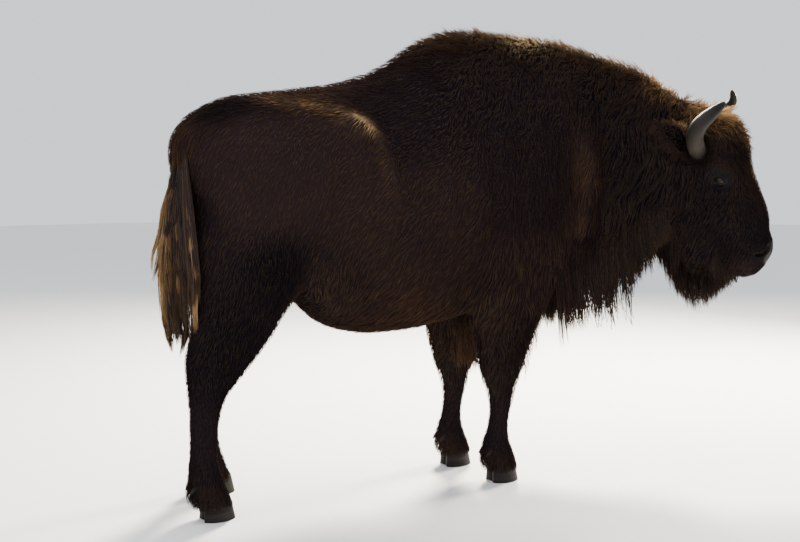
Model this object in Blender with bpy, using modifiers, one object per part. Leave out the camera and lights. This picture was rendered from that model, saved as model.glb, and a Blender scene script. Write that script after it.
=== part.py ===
"""Builds a standing wisent cow (European bison) in winter coat as a still, life-size model.

Run it with: blender --background --python part.py, or from Blender's text editor.
Metres, +Z up. The trunk looks along +X and the head is turned to its own right, towards -Y.
The origin lies on the ground under the middle of the model's box.

The flesh and the hair masses are modelled whole, out to the tips of the coat, as lofts that one
voxel surface joins. Thin cuts then part that surface into head, neck, trunk, legs and hair. Horns,
ears, eyes, claws, dewclaws and the tail are pieces of their own, each seated in a pocket.
"""

import math

import bmesh
import bpy
import numpy as np
from mathutils import Matrix, Vector

# Driving dimensions of the animal, in metres. Heights are above the ground.
HUMP_HEIGHT = 1.76
RUMP_HEIGHT = 1.512
BELLY_HEIGHT = 0.595
HALF_GIRTH = 0.335  # half the width of the barrel
FOOT_SPREAD = 0.16  # a hind foot's distance from the middle plane
FORE_SPREAD = 0.145
EYE_RADIUS = 0.021
CLAW_LENGTH = 0.122
CLAW_WIDTH = 0.048
CORONET_FRONT = 0.074  # height of the hoof wall at the toe
CORONET_REAR = 0.05

# Pose: how the neck bends to the right and how the head hangs from it.
NECK_START = 0.75  # where the bend leaves the straight trunk
NECK_ARC = 0.60  # length of the bend
NECK_TURN = math.radians(44)
HEAD_ROLL = math.radians(5)
POLL_ALONG = 0.72  # the poll's place along the neck's path
POLL_HEIGHT = 1.36
ROLL_CENTRE = (0.17, -0.014)  # down and out of the face from the poll, where the roll turns the head
FACE_SLOPE = math.radians(64.8)  # the face's own axis below the horizontal
FAR_HIND_STEP = 0.10  # how far the left hind foot stands ahead of the right one
FAR_FORE_STEP = -0.055

# The trunk's own frame has its origin under the withers; this moves it under the model's middle.
FRAME_SHIFT = Vector((-0.4416, 0.1025, 0.0))

# Mesh settings.
VOXEL = 0.010
SMOOTH_ROUNDS = 16
BODY_TRIANGLES = 3900
GAP = 0.0003  # left between pieces that touch
RING_POINTS = 40


def curve(points):
    """A smooth function through (station, value) points that never swings past them."""
    x, y = (np.array(column, float) for column in zip(*points))
    slope = np.diff(y) / np.diff(x)
    tangent = np.zeros(len(x))
    tangent[0], tangent[-1] = slope[0], slope[-1]
    for i in range(1, len(x) - 1):
        if slope[i - 1] * slope[i] > 0:
            tangent[i] = 2 * slope[i - 1] * slope[i] / (slope[i - 1] + slope[i])

    def value(at):
        at = min(max(at, x[0]), x[-1])
        i = min(int(np.searchsorted(x, at, side="right")) - 1, len(x) - 2)
        width = x[i + 1] - x[i]
        t = (at - x[i]) / width
        return float(
            (1 + 2 * t) * (1 - t) ** 2 * y[i]
            + t * (1 - t) ** 2 * width * tangent[i]
            + t * t * (3 - 2 * t) * y[i + 1]
            + t * t * (t - 1) * width * tangent[i + 1]
        )

    return value


def oval(half_width, low, high, widest, low_power, high_power):
    """Ring of (across, up) points: two half superellipses that meet at the height of greatest width."""
    angles = 2 * math.pi * np.arange(RING_POINTS) / RING_POINTS
    cos, sin = np.cos(angles), np.sin(angles)
    power = np.where(sin >= 0, high_power, low_power)
    reach = np.where(sin >= 0, high - widest, widest - low)
    across = half_width * np.sign(cos) * np.abs(cos) ** (2 / power)
    up = widest + reach * np.sign(sin) * np.abs(sin) ** (2 / power)
    return np.stack([across, up], axis=1).tolist()


def neck_path(along):
    """Point on the ground and heading of the animal's middle plane: straight, then bent, then straight."""
    radius = NECK_ARC / NECK_TURN
    bend = min(max(along / radius, 0.0), NECK_TURN)
    point = Vector((NECK_START + radius * math.sin(bend), -radius * (1 - math.cos(bend)), 0))
    beyond = float(along - min(max(along, 0.0), NECK_ARC))
    heading = Vector((math.cos(bend), -math.sin(bend), 0))
    return point + beyond * heading, heading


def upright_frame(along):
    """Origin, across and up of an upright section of the neck; across points to the animal's left."""
    point, heading = neck_path(along)
    return point, Vector((-heading.y, heading.x, 0)), Vector((0, 0, 1))


def head_point(down, front, across):
    """Point of the head from its own axes: down the face from the poll, out of the face, to the left."""
    poll, left, up = upright_frame(POLL_ALONG)
    heading = Vector((left.y, -left.x, 0))
    down_axis = math.cos(FACE_SLOPE) * heading - math.sin(FACE_SLOPE) * up
    front_axis = math.sin(FACE_SLOPE) * heading + math.cos(FACE_SLOPE) * up
    centre = ROLL_CENTRE[0] * down_axis + ROLL_CENTRE[1] * front_axis
    offset = down * down_axis + front * front_axis + across * left - centre
    return poll + POLL_HEIGHT * up + centre + Matrix.Rotation(HEAD_ROLL, 3, heading) @ offset


def mesh_object(name, points, faces, collection=None):
    mesh = bpy.data.meshes.new(name)
    mesh.from_pydata([tuple(p) for p in points], [], faces)
    mesh.validate()
    obj = bpy.data.objects.new(name, mesh)
    (collection or bpy.context.scene.collection).objects.link(obj)
    return obj


def loft(name, rings):
    """Closed surface through rings of equally many points, with a fan over each end."""
    count, size = len(rings), len(rings[0])
    points = [p for ring in rings for p in ring]
    faces = [
        (i * size + j, i * size + (j + 1) % size, (i + 1) * size + (j + 1) % size, (i + 1) * size + j)
        for i in range(count - 1)
        for j in range(size)
    ]
    for ring, start, order in ((rings[0], 0, 1), (rings[-1], (count - 1) * size, -1)):
        middle = len(points)
        points.append(sum((Vector(p) for p in ring), Vector()) / size)
        faces += [(middle, start + (j + 1) % size, start + j)[::order] for j in range(size)]
    obj = mesh_object(name, points, faces)
    face_outwards(obj.data)
    return obj


def face_outwards(mesh):
    """Turns every face outwards, and splits them into triangles so that copies bend along the same lines."""
    work = bmesh.new()
    work.from_mesh(mesh)
    bmesh.ops.triangulate(work, faces=work.faces)
    bmesh.ops.recalc_face_normals(work, faces=work.faces)
    if work.calc_volume(signed=True) < 0:
        bmesh.ops.reverse_faces(work, faces=work.faces)
    work.to_mesh(mesh)
    work.free()


def stations(first, last, count):
    """Evenly spread stations, drawn closer together at both ends so that the ends come out round."""
    spread = (1 - np.cos(np.pi * np.linspace(0, 1, count))) / 2
    blend = 0.5 * spread + 0.5 * np.linspace(0, 1, count)
    return (first + (last - first) * blend).tolist()


def ellipsoid(name, centre, radii, axes=None, segments=24):
    """Stretched sphere; axes are the three directions that the radii lie along."""
    work = bmesh.new()
    bmesh.ops.create_uvsphere(work, u_segments=segments, v_segments=segments // 2, radius=1.0)
    turn = Matrix.Identity(3) if axes is None else Matrix(axes).transposed()
    place = Matrix.Translation(centre) @ turn.to_4x4() @ Matrix.Diagonal((*radii, 1.0))
    bmesh.ops.transform(work, matrix=place, verts=work.verts)
    mesh = bpy.data.meshes.new(name)
    work.to_mesh(mesh)
    work.free()
    face_outwards(mesh)
    obj = bpy.data.objects.new(name, mesh)
    bpy.context.scene.collection.objects.link(obj)
    return obj


# ---------------------------------------------------------------- trunk


def trunk():
    """Barrel, hump and rump: upright sections along X, boxy over the hips and ridged over the hump."""
    tail_head, chest = -0.685, 0.99
    top = curve((
        (tail_head, 1.335), (-0.66, 1.375), (-0.61, 1.425), (-0.48, 1.485), (-0.27, RUMP_HEIGHT),
        (-0.06, 1.54), (0.10, 1.597), (0.28, 1.708), (0.42, 1.754), (0.54, HUMP_HEIGHT),
        (0.82, 1.732), (chest, 1.60),
    ))
    bottom = curve((
        (tail_head, 1.265), (-0.655, 1.17), (-0.61, 1.05), (-0.55, 0.95), (-0.45, 0.875),
        (-0.33, 0.808), (-0.24, 0.745), (-0.17, 0.675), (-0.10, 0.628), (0.05, BELLY_HEIGHT), (0.20, 0.60),
        (0.36, 0.63), (0.55, 0.655), (0.74, 0.63), (0.88, 0.72), (chest, 0.98),
    ))
    width = curve((
        (tail_head, 0.035), (-0.655, 0.13), (-0.60, 0.21), (-0.50, 0.262), (-0.36, 0.284),
        (-0.12, 0.305), (0.15, HALF_GIRTH), (0.40, 0.325), (0.66, 0.30), (0.86, 0.235), (chest, 0.12),
    ))
    widest = curve(((tail_head, 1.30), (-0.60, 1.15), (-0.30, 1.08), (0.1, 1.0), (0.5, 1.02), (chest, 1.28)))
    ridge = curve(((tail_head, 2.0), (-0.45, 2.15), (-0.15, 1.95), (0.15, 1.62), (0.45, 1.42), (chest, 1.5)))
    keel = curve(((tail_head, 2.0), (-0.55, 2.5), (-0.25, 2.3), (0.1, 2.3), (0.6, 2.5), (chest, 1.9)))
    rings = []
    for x in stations(tail_head, chest, 46):
        ring = oval(width(x), bottom(x), top(x), widest(x), keel(x), ridge(x))
        rings.append([Vector((x, y, z)) for y, z in ring])
    return loft("trunk_form", rings)


def hip_bones():
    """Pair of lumps where the hip bones lift the coat, high on the flanks."""
    return [
        ellipsoid(f"hip_form_{side}", Vector((-0.085, side * 0.146, 1.325)), (0.20, 0.108, 0.125))
        for side in (-1, 1)
    ]


# ---------------------------------------------------------------- neck and its mane


def neck():
    """Neck: upright sections along the bent path, from inside the chest to inside the head."""
    first, last = -0.12, 0.78
    top = curve((
        (first, 1.74), (0.08, 1.727), (0.28, 1.684), (0.43, 1.644), (0.54, 1.595), (0.62, 1.53), (last, 1.455),
    ))
    bottom = curve(((first, 0.76), (0.05, 0.72), (0.20, 0.755), (0.36, 0.82), (0.52, 0.895), (last, 1.04)))
    width = curve(((first, 0.20), (0.05, 0.228), (0.25, 0.215), (0.45, 0.196), (0.62, 0.176), (last, 0.12)))
    rings = []
    for along in stations(first, last, 26):
        origin, across, up = upright_frame(along)
        low, high = bottom(along), top(along)
        ring = oval(width(along), low, high, low + 0.5 * (high - low), 2.25, 1.75)
        rings.append([origin + y * across + z * up for y, z in ring])
    return loft("neck_form", rings)


def hair_keel(name, first, last, bottom, top, width, count):
    """Hanging hair under the middle line: upright sections that narrow to a soft lower edge."""
    rings = []
    for along in stations(first, last, count):
        origin, across, up = upright_frame(along)
        low, high = bottom(along), top(along)
        ring = oval(width(along), low, high, low + 0.72 * (high - low), 1.45, 2.0)
        rings.append([origin + y * across + z * up for y, z in ring])
    return loft(name, rings)


def throat_mane():
    """Curtain of long hair from the brisket to the throat."""
    bottom = curve((
        (-0.02, 0.62), (0.02, 0.53), (0.075, 0.505), (0.13, 0.545), (0.22, 0.60), (0.30, 0.645),
        (0.38, 0.67), (0.44, 0.72), (0.50, 0.795), (0.545, 0.90),
    ))
    top = curve(((-0.02, 0.78), (0.2, 0.93), (0.4, 1.00), (0.545, 1.06)))
    width = curve(((-0.02, 0.07), (0.07, 0.125), (0.25, 0.14), (0.42, 0.13), (0.545, 0.08)))
    return hair_keel("throat_form", -0.02, 0.545, bottom, top, width, 18)


def chin_beard():
    """Beard that hangs from the chin and the jaw."""
    bottom = curve((
        (0.535, 0.90), (0.575, 0.80), (0.62, 0.715), (0.68, 0.68), (0.745, 0.652), (0.80, 0.692),
        (0.845, 0.74), (0.872, 0.80),
    ))
    top = curve(((0.535, 1.02), (0.62, 1.14), (0.72, 1.10), (0.80, 0.98), (0.872, 0.88)))
    width = curve(((0.535, 0.06), (0.60, 0.095), (0.70, 0.108), (0.80, 0.085), (0.872, 0.035)))
    return hair_keel("beard_form", 0.535, 0.872, bottom, top, width, 16)


# ---------------------------------------------------------------- head


def skull():
    """Head from the crown to the lips: sections square to the face's axis, boxy at the brow."""
    crown, lips = -0.062, 0.612
    front = curve((
        (crown, 0.075), (-0.035, 0.122), (0.02, 0.154), (0.09, 0.157), (0.16, 0.141), (0.225, 0.121),
        (0.31, 0.113), (0.38, 0.1095), (0.43, 0.097), (0.468, 0.074), (0.50, 0.075), (0.535, 0.069),
        (0.567, 0.045), (0.592, -0.002), (lips, -0.045),
    ))
    back = curve((
        (crown, -0.03), (0.0, -0.14), (0.10, -0.20), (0.22, -0.215), (0.34, -0.200), (0.45, -0.172),
        (0.54, -0.143), (0.58, -0.118), (lips, -0.075),
    ))
    width = curve((
        (crown, 0.075), (0.0, 0.139), (0.07, 0.149), (0.15, 0.136), (0.24, 0.123), (0.32, 0.108),
        (0.40, 0.093), (0.46, 0.080), (0.50, 0.079), (0.545, 0.077), (0.585, 0.060), (lips, 0.030),
    ))
    widest = curve(((crown, 0.02), (0.1, 0.0), (0.3, -0.045), (0.48, -0.02), (lips, -0.06)))
    brow_power = curve(((crown, 2.0), (0.08, 2.35), (0.25, 2.1), (0.42, 1.95), (0.52, 2.3), (lips, 2.2)))
    rings = []
    for down in stations(crown, lips, 36):
        ring = oval(width(down), back(down), front(down), widest(down), 1.9, brow_power(down))
        rings.append([head_point(down, v, y) for y, v in ring])
    return loft("skull_form", rings)


def head_axes():
    """Directions across, out of and down the face."""
    zero = head_point(0, 0, 0)
    return [(head_point(*step) - zero).normalized() for step in ((0, 0, 1), (0, 1, 0), (1, 0, 0))]


def head_lumps():
    """Brow bones over the eyes, the chewing muscles of the cheeks and the sides of the muzzle."""
    axes = head_axes()
    lumps = []
    for side in (-1, 1):
        places = (
            ("brow", (0.158, 0.026, side * 0.086), (0.050, 0.040, 0.050)),
            ("cheek", (0.265, -0.105, side * 0.078), (0.045, 0.085, 0.125)),
            ("jaw", (0.41, -0.092, side * 0.046), (0.040, 0.055, 0.140)),
            ("nostril", (0.515, 0.022, side * 0.042), (0.038, 0.042, 0.044)),
        )
        for part, place, radii in places:
            lumps.append(ellipsoid(f"{part}_form_{side}", head_point(*place), radii, axes))
    return lumps


# ---------------------------------------------------------------- legs

# Each row: height, back edge, front edge, distance from the middle plane, half width.
HIND_LEG = (
    (1.24, -0.54, -0.16, 0.110, 0.110),
    (1.12, -0.615, -0.125, 0.138, 0.118),
    (1.03, -0.642, -0.140, 0.152, 0.123),
    (0.95, -0.652, -0.172, 0.160, 0.122),
    (0.84, -0.650, -0.235, 0.163, 0.109),
    (0.73, -0.655, -0.305, 0.160, 0.092),
    (0.64, -0.676, -0.362, 0.157, 0.074),
    (0.575, -0.694, -0.410, 0.155, 0.061),
    (0.50, -0.690, -0.478, 0.155, 0.054),
    (0.43, -0.681, -0.540, 0.156, 0.050),
    (0.36, -0.678, -0.564, 0.158, 0.046),
    (0.26, -0.679, -0.575, FOOT_SPREAD, 0.044),
    (0.19, -0.681, -0.571, FOOT_SPREAD, 0.049),
    (0.14, -0.692, -0.556, FOOT_SPREAD, 0.058),
    (0.10, -0.680, -0.541, FOOT_SPREAD, 0.058),
    (0.04, -0.642, -0.510, FOOT_SPREAD, 0.056),
)
FORE_LEG = (
    (1.15, 0.44, 0.78, 0.120, 0.105),
    (1.00, 0.40, 0.81, 0.145, 0.114),
    (0.90, 0.39, 0.815, 0.155, 0.117),
    (0.80, 0.394, 0.803, 0.160, 0.116),
    (0.72, 0.408, 0.775, 0.160, 0.110),
    (0.64, 0.430, 0.737, 0.155, 0.100),
    (0.54, 0.448, 0.698, 0.149, 0.086),
    (0.46, 0.468, 0.667, FORE_SPREAD, 0.074),
    (0.395, 0.488, 0.644, FORE_SPREAD, 0.064),
    (0.345, 0.517, 0.626, FORE_SPREAD, 0.052),
    (0.28, 0.522, 0.608, FORE_SPREAD, 0.043),
    (0.21, 0.512, 0.598, FORE_SPREAD, 0.043),
    (0.155, 0.490, 0.606, FORE_SPREAD, 0.052),
    (0.12, 0.483, 0.620, FORE_SPREAD, 0.058),
    (0.09, 0.500, 0.630, FORE_SPREAD, 0.058),
    (0.04, 0.522, 0.646, FORE_SPREAD, 0.056),
)
STEP_TOP, STEP_FULL = 1.10, 0.62  # a leg's step grows from nothing to full between these heights


def step_share(height):
    """Share of a leg's step at a height: nothing at the hip, all of it from the hock or knee down."""
    t = min(max((STEP_TOP - height) / (STEP_TOP - STEP_FULL), 0.0), 1.0)
    return t * t * (3 - 2 * t)


def leg(name, rows, side, step):
    """Leg out to the tips of its hair: level sections down to the ground."""
    back, front, spread, half = (
        curve(tuple((-row[0], row[i]) for row in rows)) for i in (1, 2, 3, 4)
    )
    rings = []
    for drop in stations(-rows[0][0], -rows[-1][0], 34):
        shift = step * step_share(-drop)
        middle, reach = (front(drop) + back(drop)) / 2 + shift, (front(drop) - back(drop)) / 2
        ring = oval(half(drop), -reach, reach, 0.0, 2.15, 2.15)
        rings.append([Vector((middle + x, side * (spread(drop) + y), -drop)) for y, x in ring])
    return loft(name, rings)


LEGS = {
    "foreleg_right": (FORE_LEG, -1, 0.0),
    "foreleg_left": (FORE_LEG, 1, FAR_FORE_STEP),
    "hindleg_right": (HIND_LEG, -1, 0.0),
    "hindleg_left": (HIND_LEG, 1, FAR_HIND_STEP),
}


def foot_of(rows, side, step):
    """Where the middle of a foot's sole lies."""
    return Vector(((rows[-1][1] + rows[-1][2]) / 2 + step, side * rows[-1][3], 0))


# ---------------------------------------------------------------- joining the forms and parting them


def only_mesh(name, obj):
    """New plain object with obj's evaluated mesh; obj is removed."""
    bpy.context.view_layer.update()
    graph = bpy.context.evaluated_depsgraph_get()
    mesh = bpy.data.meshes.new_from_object(obj.evaluated_get(graph))
    mesh.transform(obj.matrix_world)
    bpy.data.objects.remove(obj)
    made = bpy.data.objects.new(name, mesh)
    bpy.context.scene.collection.objects.link(made)
    return made


def joined(name, objects):
    """One object that holds the loose surfaces of several."""
    work = bmesh.new()
    for obj in objects:
        work.from_mesh(obj.data)
        bpy.data.objects.remove(obj)
    mesh = bpy.data.meshes.new(name)
    work.to_mesh(mesh)
    work.free()
    made = bpy.data.objects.new(name, mesh)
    bpy.context.scene.collection.objects.link(made)
    return made


def whole_body():
    """Every form under one voxel surface, smoothed, with more of its faces kept on the head."""
    forms = [trunk(), *hip_bones(), neck(), throat_mane(), chin_beard(), skull(), *head_lumps()]
    forms += [leg(f"{name}_form", *spec) for name, spec in LEGS.items()]
    body = joined("body_forms", forms)
    remesh = body.modifiers.new("one_surface", "REMESH")
    remesh.mode = "VOXEL"
    remesh.voxel_size = VOXEL
    smooth = body.modifiers.new("soften", "SMOOTH")
    smooth.factor = 0.5
    smooth.iterations = SMOOTH_ROUNDS
    body = only_mesh("body_surface", body)
    fine = body.vertex_groups.new(name="fine")
    face = head_point(0.25, 0, 0)
    near_head = [v.index for v in body.data.vertices if (v.co - face).length < 0.36]
    fine.add(near_head, 0.6, "REPLACE")
    thin = body.modifiers.new("fewer_faces", "DECIMATE")
    thin.vertex_group = fine.name
    thin.invert_vertex_group = True
    thin.vertex_group_factor = 0.012
    thin.ratio = BODY_TRIANGLES / (2 * len(body.data.polygons))
    thin.use_collapse_triangulate = True
    return only_mesh("body", body)


def block(name, centre, size, turn=None):
    """Cutting block: a box, turned or sheared, and placed."""
    work = bmesh.new()
    bmesh.ops.create_cube(work, size=1.0)
    matrix = Matrix.Translation(centre) @ (turn or Matrix.Identity(4)) @ Matrix.Diagonal((*size, 1.0))
    bmesh.ops.transform(work, matrix=matrix, verts=work.verts)
    mesh = bpy.data.meshes.new(name)
    work.to_mesh(mesh)
    work.free()
    obj = bpy.data.objects.new(name, mesh)
    bpy.context.scene.collection.objects.link(obj)
    return obj


def boolean(obj, cutter, operation, name):
    """obj after one Boolean with the cutter, as a new object; the cutter stays."""
    cut = obj.modifiers.new(operation.lower(), "BOOLEAN")
    cut.operation = operation
    cut.solver = "EXACT"
    cut.object = cutter
    return only_mesh(name, obj)


def copy_of(obj, name):
    made = obj.copy()
    made.data = obj.data.copy()
    made.name = name
    bpy.context.scene.collection.objects.link(made)
    return made


def part_off(obj, name, centre, size, turn=None):
    """Parts obj by a block: returns what lies inside it, named, and what is left outside a thin cut."""
    inner = block("inner_block", centre, size, turn)
    outer = block("outer_block", centre, [s + 2 * GAP for s in size], turn)
    inside = boolean(copy_of(obj, "inside"), inner, "INTERSECT", name)
    outside = boolean(obj, outer, "DIFFERENCE", obj.name)
    bpy.data.objects.remove(inner)
    bpy.data.objects.remove(outer)
    return inside, outside


def seat(host, piece):
    """host with a pocket for the piece, a gap wider all round."""
    cutter = copy_of(piece, "pocket")
    wider = cutter.modifiers.new("gap", "DISPLACE")
    wider.strength = 1.3 * GAP
    wider.mid_level = 0.0
    cutter = only_mesh("pocket", cutter)
    made = boolean(host, cutter, "DIFFERENCE", host.name)
    bpy.data.objects.remove(cutter)
    return made


def largest_body(obj):
    """Drops all but the largest loose piece of a mesh, such as a crumb beside a cut."""
    work = bmesh.new()
    work.from_mesh(obj.data)
    left, bodies = set(work.verts), []
    while left:
        grown, edge = set(), [left.pop()]
        while edge:
            vert = edge.pop()
            grown.add(vert)
            for link in vert.link_edges:
                other = link.other_vert(vert)
                if other in left:
                    left.discard(other)
                    edge.append(other)
        bodies.append(grown)
    bodies.sort(key=len, reverse=True)
    for crumb in bodies[1:]:
        bmesh.ops.delete(work, geom=list(crumb), context="VERTS")
    work.to_mesh(obj.data)
    work.free()
    return obj


def facing_block(face_centre, facing, size):
    """Centre, size and turn of a block whose one face has this centre and outward direction."""
    normal = Vector(facing).normalized()
    turn = normal.to_track_quat("X", "Z").to_matrix().to_4x4()
    return Vector(face_centre) - normal * size[0] / 2, size, turn


def sheared_block(low, high, rise):
    """Centre, size and shear of an upright block from corner to corner, whose top rises along X."""
    low, high = Vector(low), Vector(high)
    shear = Matrix.Identity(4)
    shear[2][0] = rise
    return (low + high) / 2, tuple(high - low), shear


def leg_block(side, inner, rear, front, top, rise):
    """Block round a leg, from under the ground to its top's middle height."""
    near, far = sorted((side * inner, side * (inner + 0.60)))
    return sheared_block((rear, near, -0.2), (front, far, top), rise)


def parted_body():
    """The whole body as its named parts."""
    body = whole_body()
    parts = {}
    nape, across, _ = upright_frame(0.60)
    heading = Vector((across.y, -across.x, 0))
    slope = -heading + Vector((0, 0, 0.16))
    head, body = part_off(body, "head", *facing_block(nape + Vector((0, 0, 1.2)), slope, (1.0, 1.4, 1.4)))
    jaw = upright_frame(0.70)[0] + Vector((0, 0, 0.827))
    parts["chin_beard"], parts["head"] = part_off(
        head, "chin_beard", *facing_block(jaw, Vector((0, 0, 1)) + 0.288 * heading, (0.5, 1.2, 1.2))
    )
    # The throat's mane hangs below a plane that rises from the brisket to the throat.
    mane = sheared_block((0.76, -0.8, 0.2), (1.56, 0.8, 0.834), 0.42)
    parts["throat_mane"], body = part_off(body, "throat_mane", *mane)
    # The neck lies ahead of a slanting cut from the withers to the brisket.
    withers = Vector((NECK_START + 0.06, 0, 1.15))
    parts["neck"], body = part_off(
        body, "neck", *facing_block(withers, (-1.0, 0.10, -0.16), (1.8, 2.4, 2.4))
    )
    for name, (rows, side, step) in LEGS.items():
        if name.startswith("fore"):
            place = leg_block(side, 0.05, 0.385, 0.80, 0.717, 0.12)
        else:
            place = leg_block(side, 0.001, -0.80, -0.20, 0.86, -0.55)
        parts[name], body = part_off(body, name, *place)
        slant = (CORONET_FRONT - CORONET_REAR) / CLAW_LENGTH
        level = foot_of(rows, side, step) + Vector((0, 0, (CORONET_FRONT + CORONET_REAR) / 2 + GAP))
        sole = block("sole", *facing_block(level, (-slant, 0, 1), (0.3, 0.4, 0.4)))
        parts[name] = boolean(parts[name], sole, "DIFFERENCE", name)
        bpy.data.objects.remove(sole)
    parts["trunk"] = body
    for name, obj in parts.items():
        obj.name = name
        largest_body(obj)
    return parts


# ---------------------------------------------------------------- pieces of their own

# Places on the head: down the face from the poll, out of the face, and away from the middle.
HORN_LINE = (
    (0.078, -0.012, 0.092), (0.055, -0.016, 0.140), (0.020, -0.012, 0.181), (-0.021, 0.011, 0.217),
    (-0.049, 0.048, 0.234), (-0.064, 0.095, 0.228), (-0.086, 0.153, 0.193),
)
HORN_RADII = (0.037, 0.0355, 0.033, 0.029, 0.024, 0.0165, 0.0045)
EAR_LINE = ((0.036, -0.078, 0.100), (0.010, -0.078, 0.146), (-0.043, -0.078, 0.206), (-0.108, -0.108, 0.285))
EYE_PLACE = (0.202, -0.002, 0.1155)


def horn(name, side):
    """Horn: a tapered tube that leaves the head sideways, turns up and points in."""
    data = bpy.data.curves.new(name, "CURVE")
    data.dimensions = "3D"
    data.bevel_depth = 1.0
    data.bevel_resolution = 2
    data.use_fill_caps = True
    data.resolution_u = 2
    line = data.splines.new("BEZIER")
    line.bezier_points.add(len(HORN_LINE) - 1)
    for point, place, radius in zip(line.bezier_points, HORN_LINE, HORN_RADII):
        point.co = head_point(place[0], place[1], side * place[2])
        point.radius = radius
        point.handle_left_type = point.handle_right_type = "AUTO"
    obj = bpy.data.objects.new(name, data)
    bpy.context.scene.collection.objects.link(obj)
    made = only_mesh(name, obj)
    weld_caps(made.data)
    return made


def weld_caps(mesh):
    work = bmesh.new()
    work.from_mesh(mesh)
    bmesh.ops.remove_doubles(work, verts=work.verts, dist=1e-5)
    work.to_mesh(mesh)
    work.free()
    face_outwards(mesh)


def ear(name, side):
    """Ear out to its hair: a leaf that is cupped forwards and hangs out behind the horn."""
    root, tip = Vector(EAR_LINE[0]), Vector(EAR_LINE[-1])
    path = [curve(tuple(zip((0.0, 0.22, 0.55, 1.0), column))) for column in zip(*EAR_LINE)]
    half = curve(((0.0, 0.024), (0.2, 0.034), (0.45, 0.045), (0.7, 0.039), (0.9, 0.018), (1.0, 0.006)))
    thick = curve(((0.0, 0.020), (0.2, 0.013), (0.6, 0.009), (1.0, 0.004)))
    along = (tip - root).normalized()
    opening = Vector((0.45, 0.62, 0.35))
    opening = (opening - opening.dot(along) * along).normalized()
    wide = along.cross(opening)
    rings = []
    for t in stations(0.0, 1.0, 9):
        ring = []
        for angle in 2 * math.pi * np.arange(12) / 12:
            u, v = half(t) * math.cos(angle), thick(t) * math.sin(angle)
            cup = 0.40 * half(t) * (abs(math.cos(angle)) ** 2)
            place = Vector(axis(t) for axis in path) + u * wide + (v + cup) * opening
            ring.append(head_point(place.x, place.y, side * place.z))
        rings.append(ring)
    return loft(name, rings)


def eye(name, side):
    return ellipsoid(
        name, head_point(EYE_PLACE[0], EYE_PLACE[1], side * EYE_PLACE[2]), (EYE_RADIUS,) * 3, head_axes(), 14
    )


# Each row: height, back edge, front edge, half width.
TAIL = (
    (1.322, -0.678, -0.600, 0.028),
    (1.26, -0.697, -0.600, 0.040),
    (1.18, -0.712, -0.620, 0.047),
    (1.12, -0.721, -0.632, 0.050),
    (1.03, -0.738, -0.632, 0.055),
    (0.94, -0.752, -0.628, 0.060),
    (0.84, -0.751, -0.622, 0.062),
    (0.77, -0.746, -0.625, 0.060),
    (0.71, -0.741, -0.630, 0.052),
    (0.65, -0.728, -0.640, 0.038),
    (0.60, -0.711, -0.655, 0.022),
    (0.577, -0.696, -0.674, 0.009),
)
TASSEL_TOP = 0.83


def tail():
    """Tail with its hair: level sections from the root at the rump down to the tassel's tip."""
    back, front, half = (curve(tuple((-row[0], row[i]) for row in TAIL)) for i in (1, 2, 3))
    rings = []
    for drop in stations(-TAIL[0][0], -TAIL[-1][0], 14):
        middle, reach = (front(drop) + back(drop)) / 2, (front(drop) - back(drop)) / 2
        ring = oval(half(drop), -reach, reach, 0.0, 2.0, 2.0)[:: RING_POINTS // 10]
        rings.append([Vector((middle + x, y, -drop)) for y, x in ring])
    return loft("tail", rings)


def claw(name, foot, side_of_foot):
    """One half of a cloven hoof: flat sole, sloping toe, straight inner wall."""
    split, length = 0.0035, CLAW_LENGTH
    rings = []
    for rise in (0.0, 0.06, 0.5, 1.0):
        toe, heel = length * (0.5 - 0.13 * rise), -length * (0.5 - 0.03 * rise)
        reach = CLAW_WIDTH * (1.0 - 0.10 * rise) if rise else CLAW_WIDTH * 0.96
        ring = []
        for step in range(7):
            t = step / 6
            x = heel + (toe - heel) * t
            bulge = (max(math.sin(math.pi * (0.10 + 0.90 * t) ** 0.9), 0.0)) ** 0.55
            ring.append((x, split + reach * bulge))
        ring.append((toe, split))
        ring.append(((toe + heel) / 2, split))
        ring.append((heel, split))
        height = [
            rise * (CORONET_REAR + (CORONET_FRONT - CORONET_REAR) * (x + length / 2) / length) for x, _ in ring
        ]
        rings.append([foot + Vector((x, side_of_foot * y, z)) for (x, y), z in zip(ring, height)])
    obj = loft(name, rings)
    weld_caps(obj.data)
    return obj


def dewclaw(name, foot, rear, side_of_foot):
    """Small horn behind the pastern."""
    place = Vector((rear, foot.y + side_of_foot * 0.031, 0.122))
    lean = Vector((-0.45, side_of_foot * 0.25, -0.86)).normalized()
    out = Vector((-0.86, 0, 0.45)).normalized()
    return ellipsoid(name, place, (0.012, 0.013, 0.021), [out.cross(lean), out, lean], 8)


# ---------------------------------------------------------------- the animal


def material(name, colour, roughness):
    made = bpy.data.materials.new(name)
    made.use_nodes = True
    shader = made.node_tree.nodes["Principled BSDF"]
    shader.inputs["Base Color"].default_value = (*colour, 1.0)
    shader.inputs["Roughness"].default_value = roughness
    shader.inputs["Metallic"].default_value = 0.0
    return made


COLOURS = {
    "trunk": ((0.075, 0.042, 0.022), 0.9),
    "neck": ((0.035, 0.020, 0.012), 0.9),
    "head": ((0.022, 0.014, 0.010), 0.9),
    "chin_beard": ((0.040, 0.022, 0.012), 0.9),
    "throat_mane": ((0.022, 0.014, 0.010), 0.9),
    "foreleg": ((0.020, 0.013, 0.010), 0.9),
    "hindleg": ((0.040, 0.024, 0.014), 0.9),
    "tail": ((0.060, 0.036, 0.018), 0.9),
    "ear": ((0.030, 0.020, 0.013), 0.9),
    "eye": ((0.008, 0.005, 0.004), 0.08),
    "horn": ((0.050, 0.046, 0.042), 0.45),
    "claw": ((0.022, 0.018, 0.016), 0.55),
    "dewclaw": ((0.022, 0.018, 0.016), 0.6),
}


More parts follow.
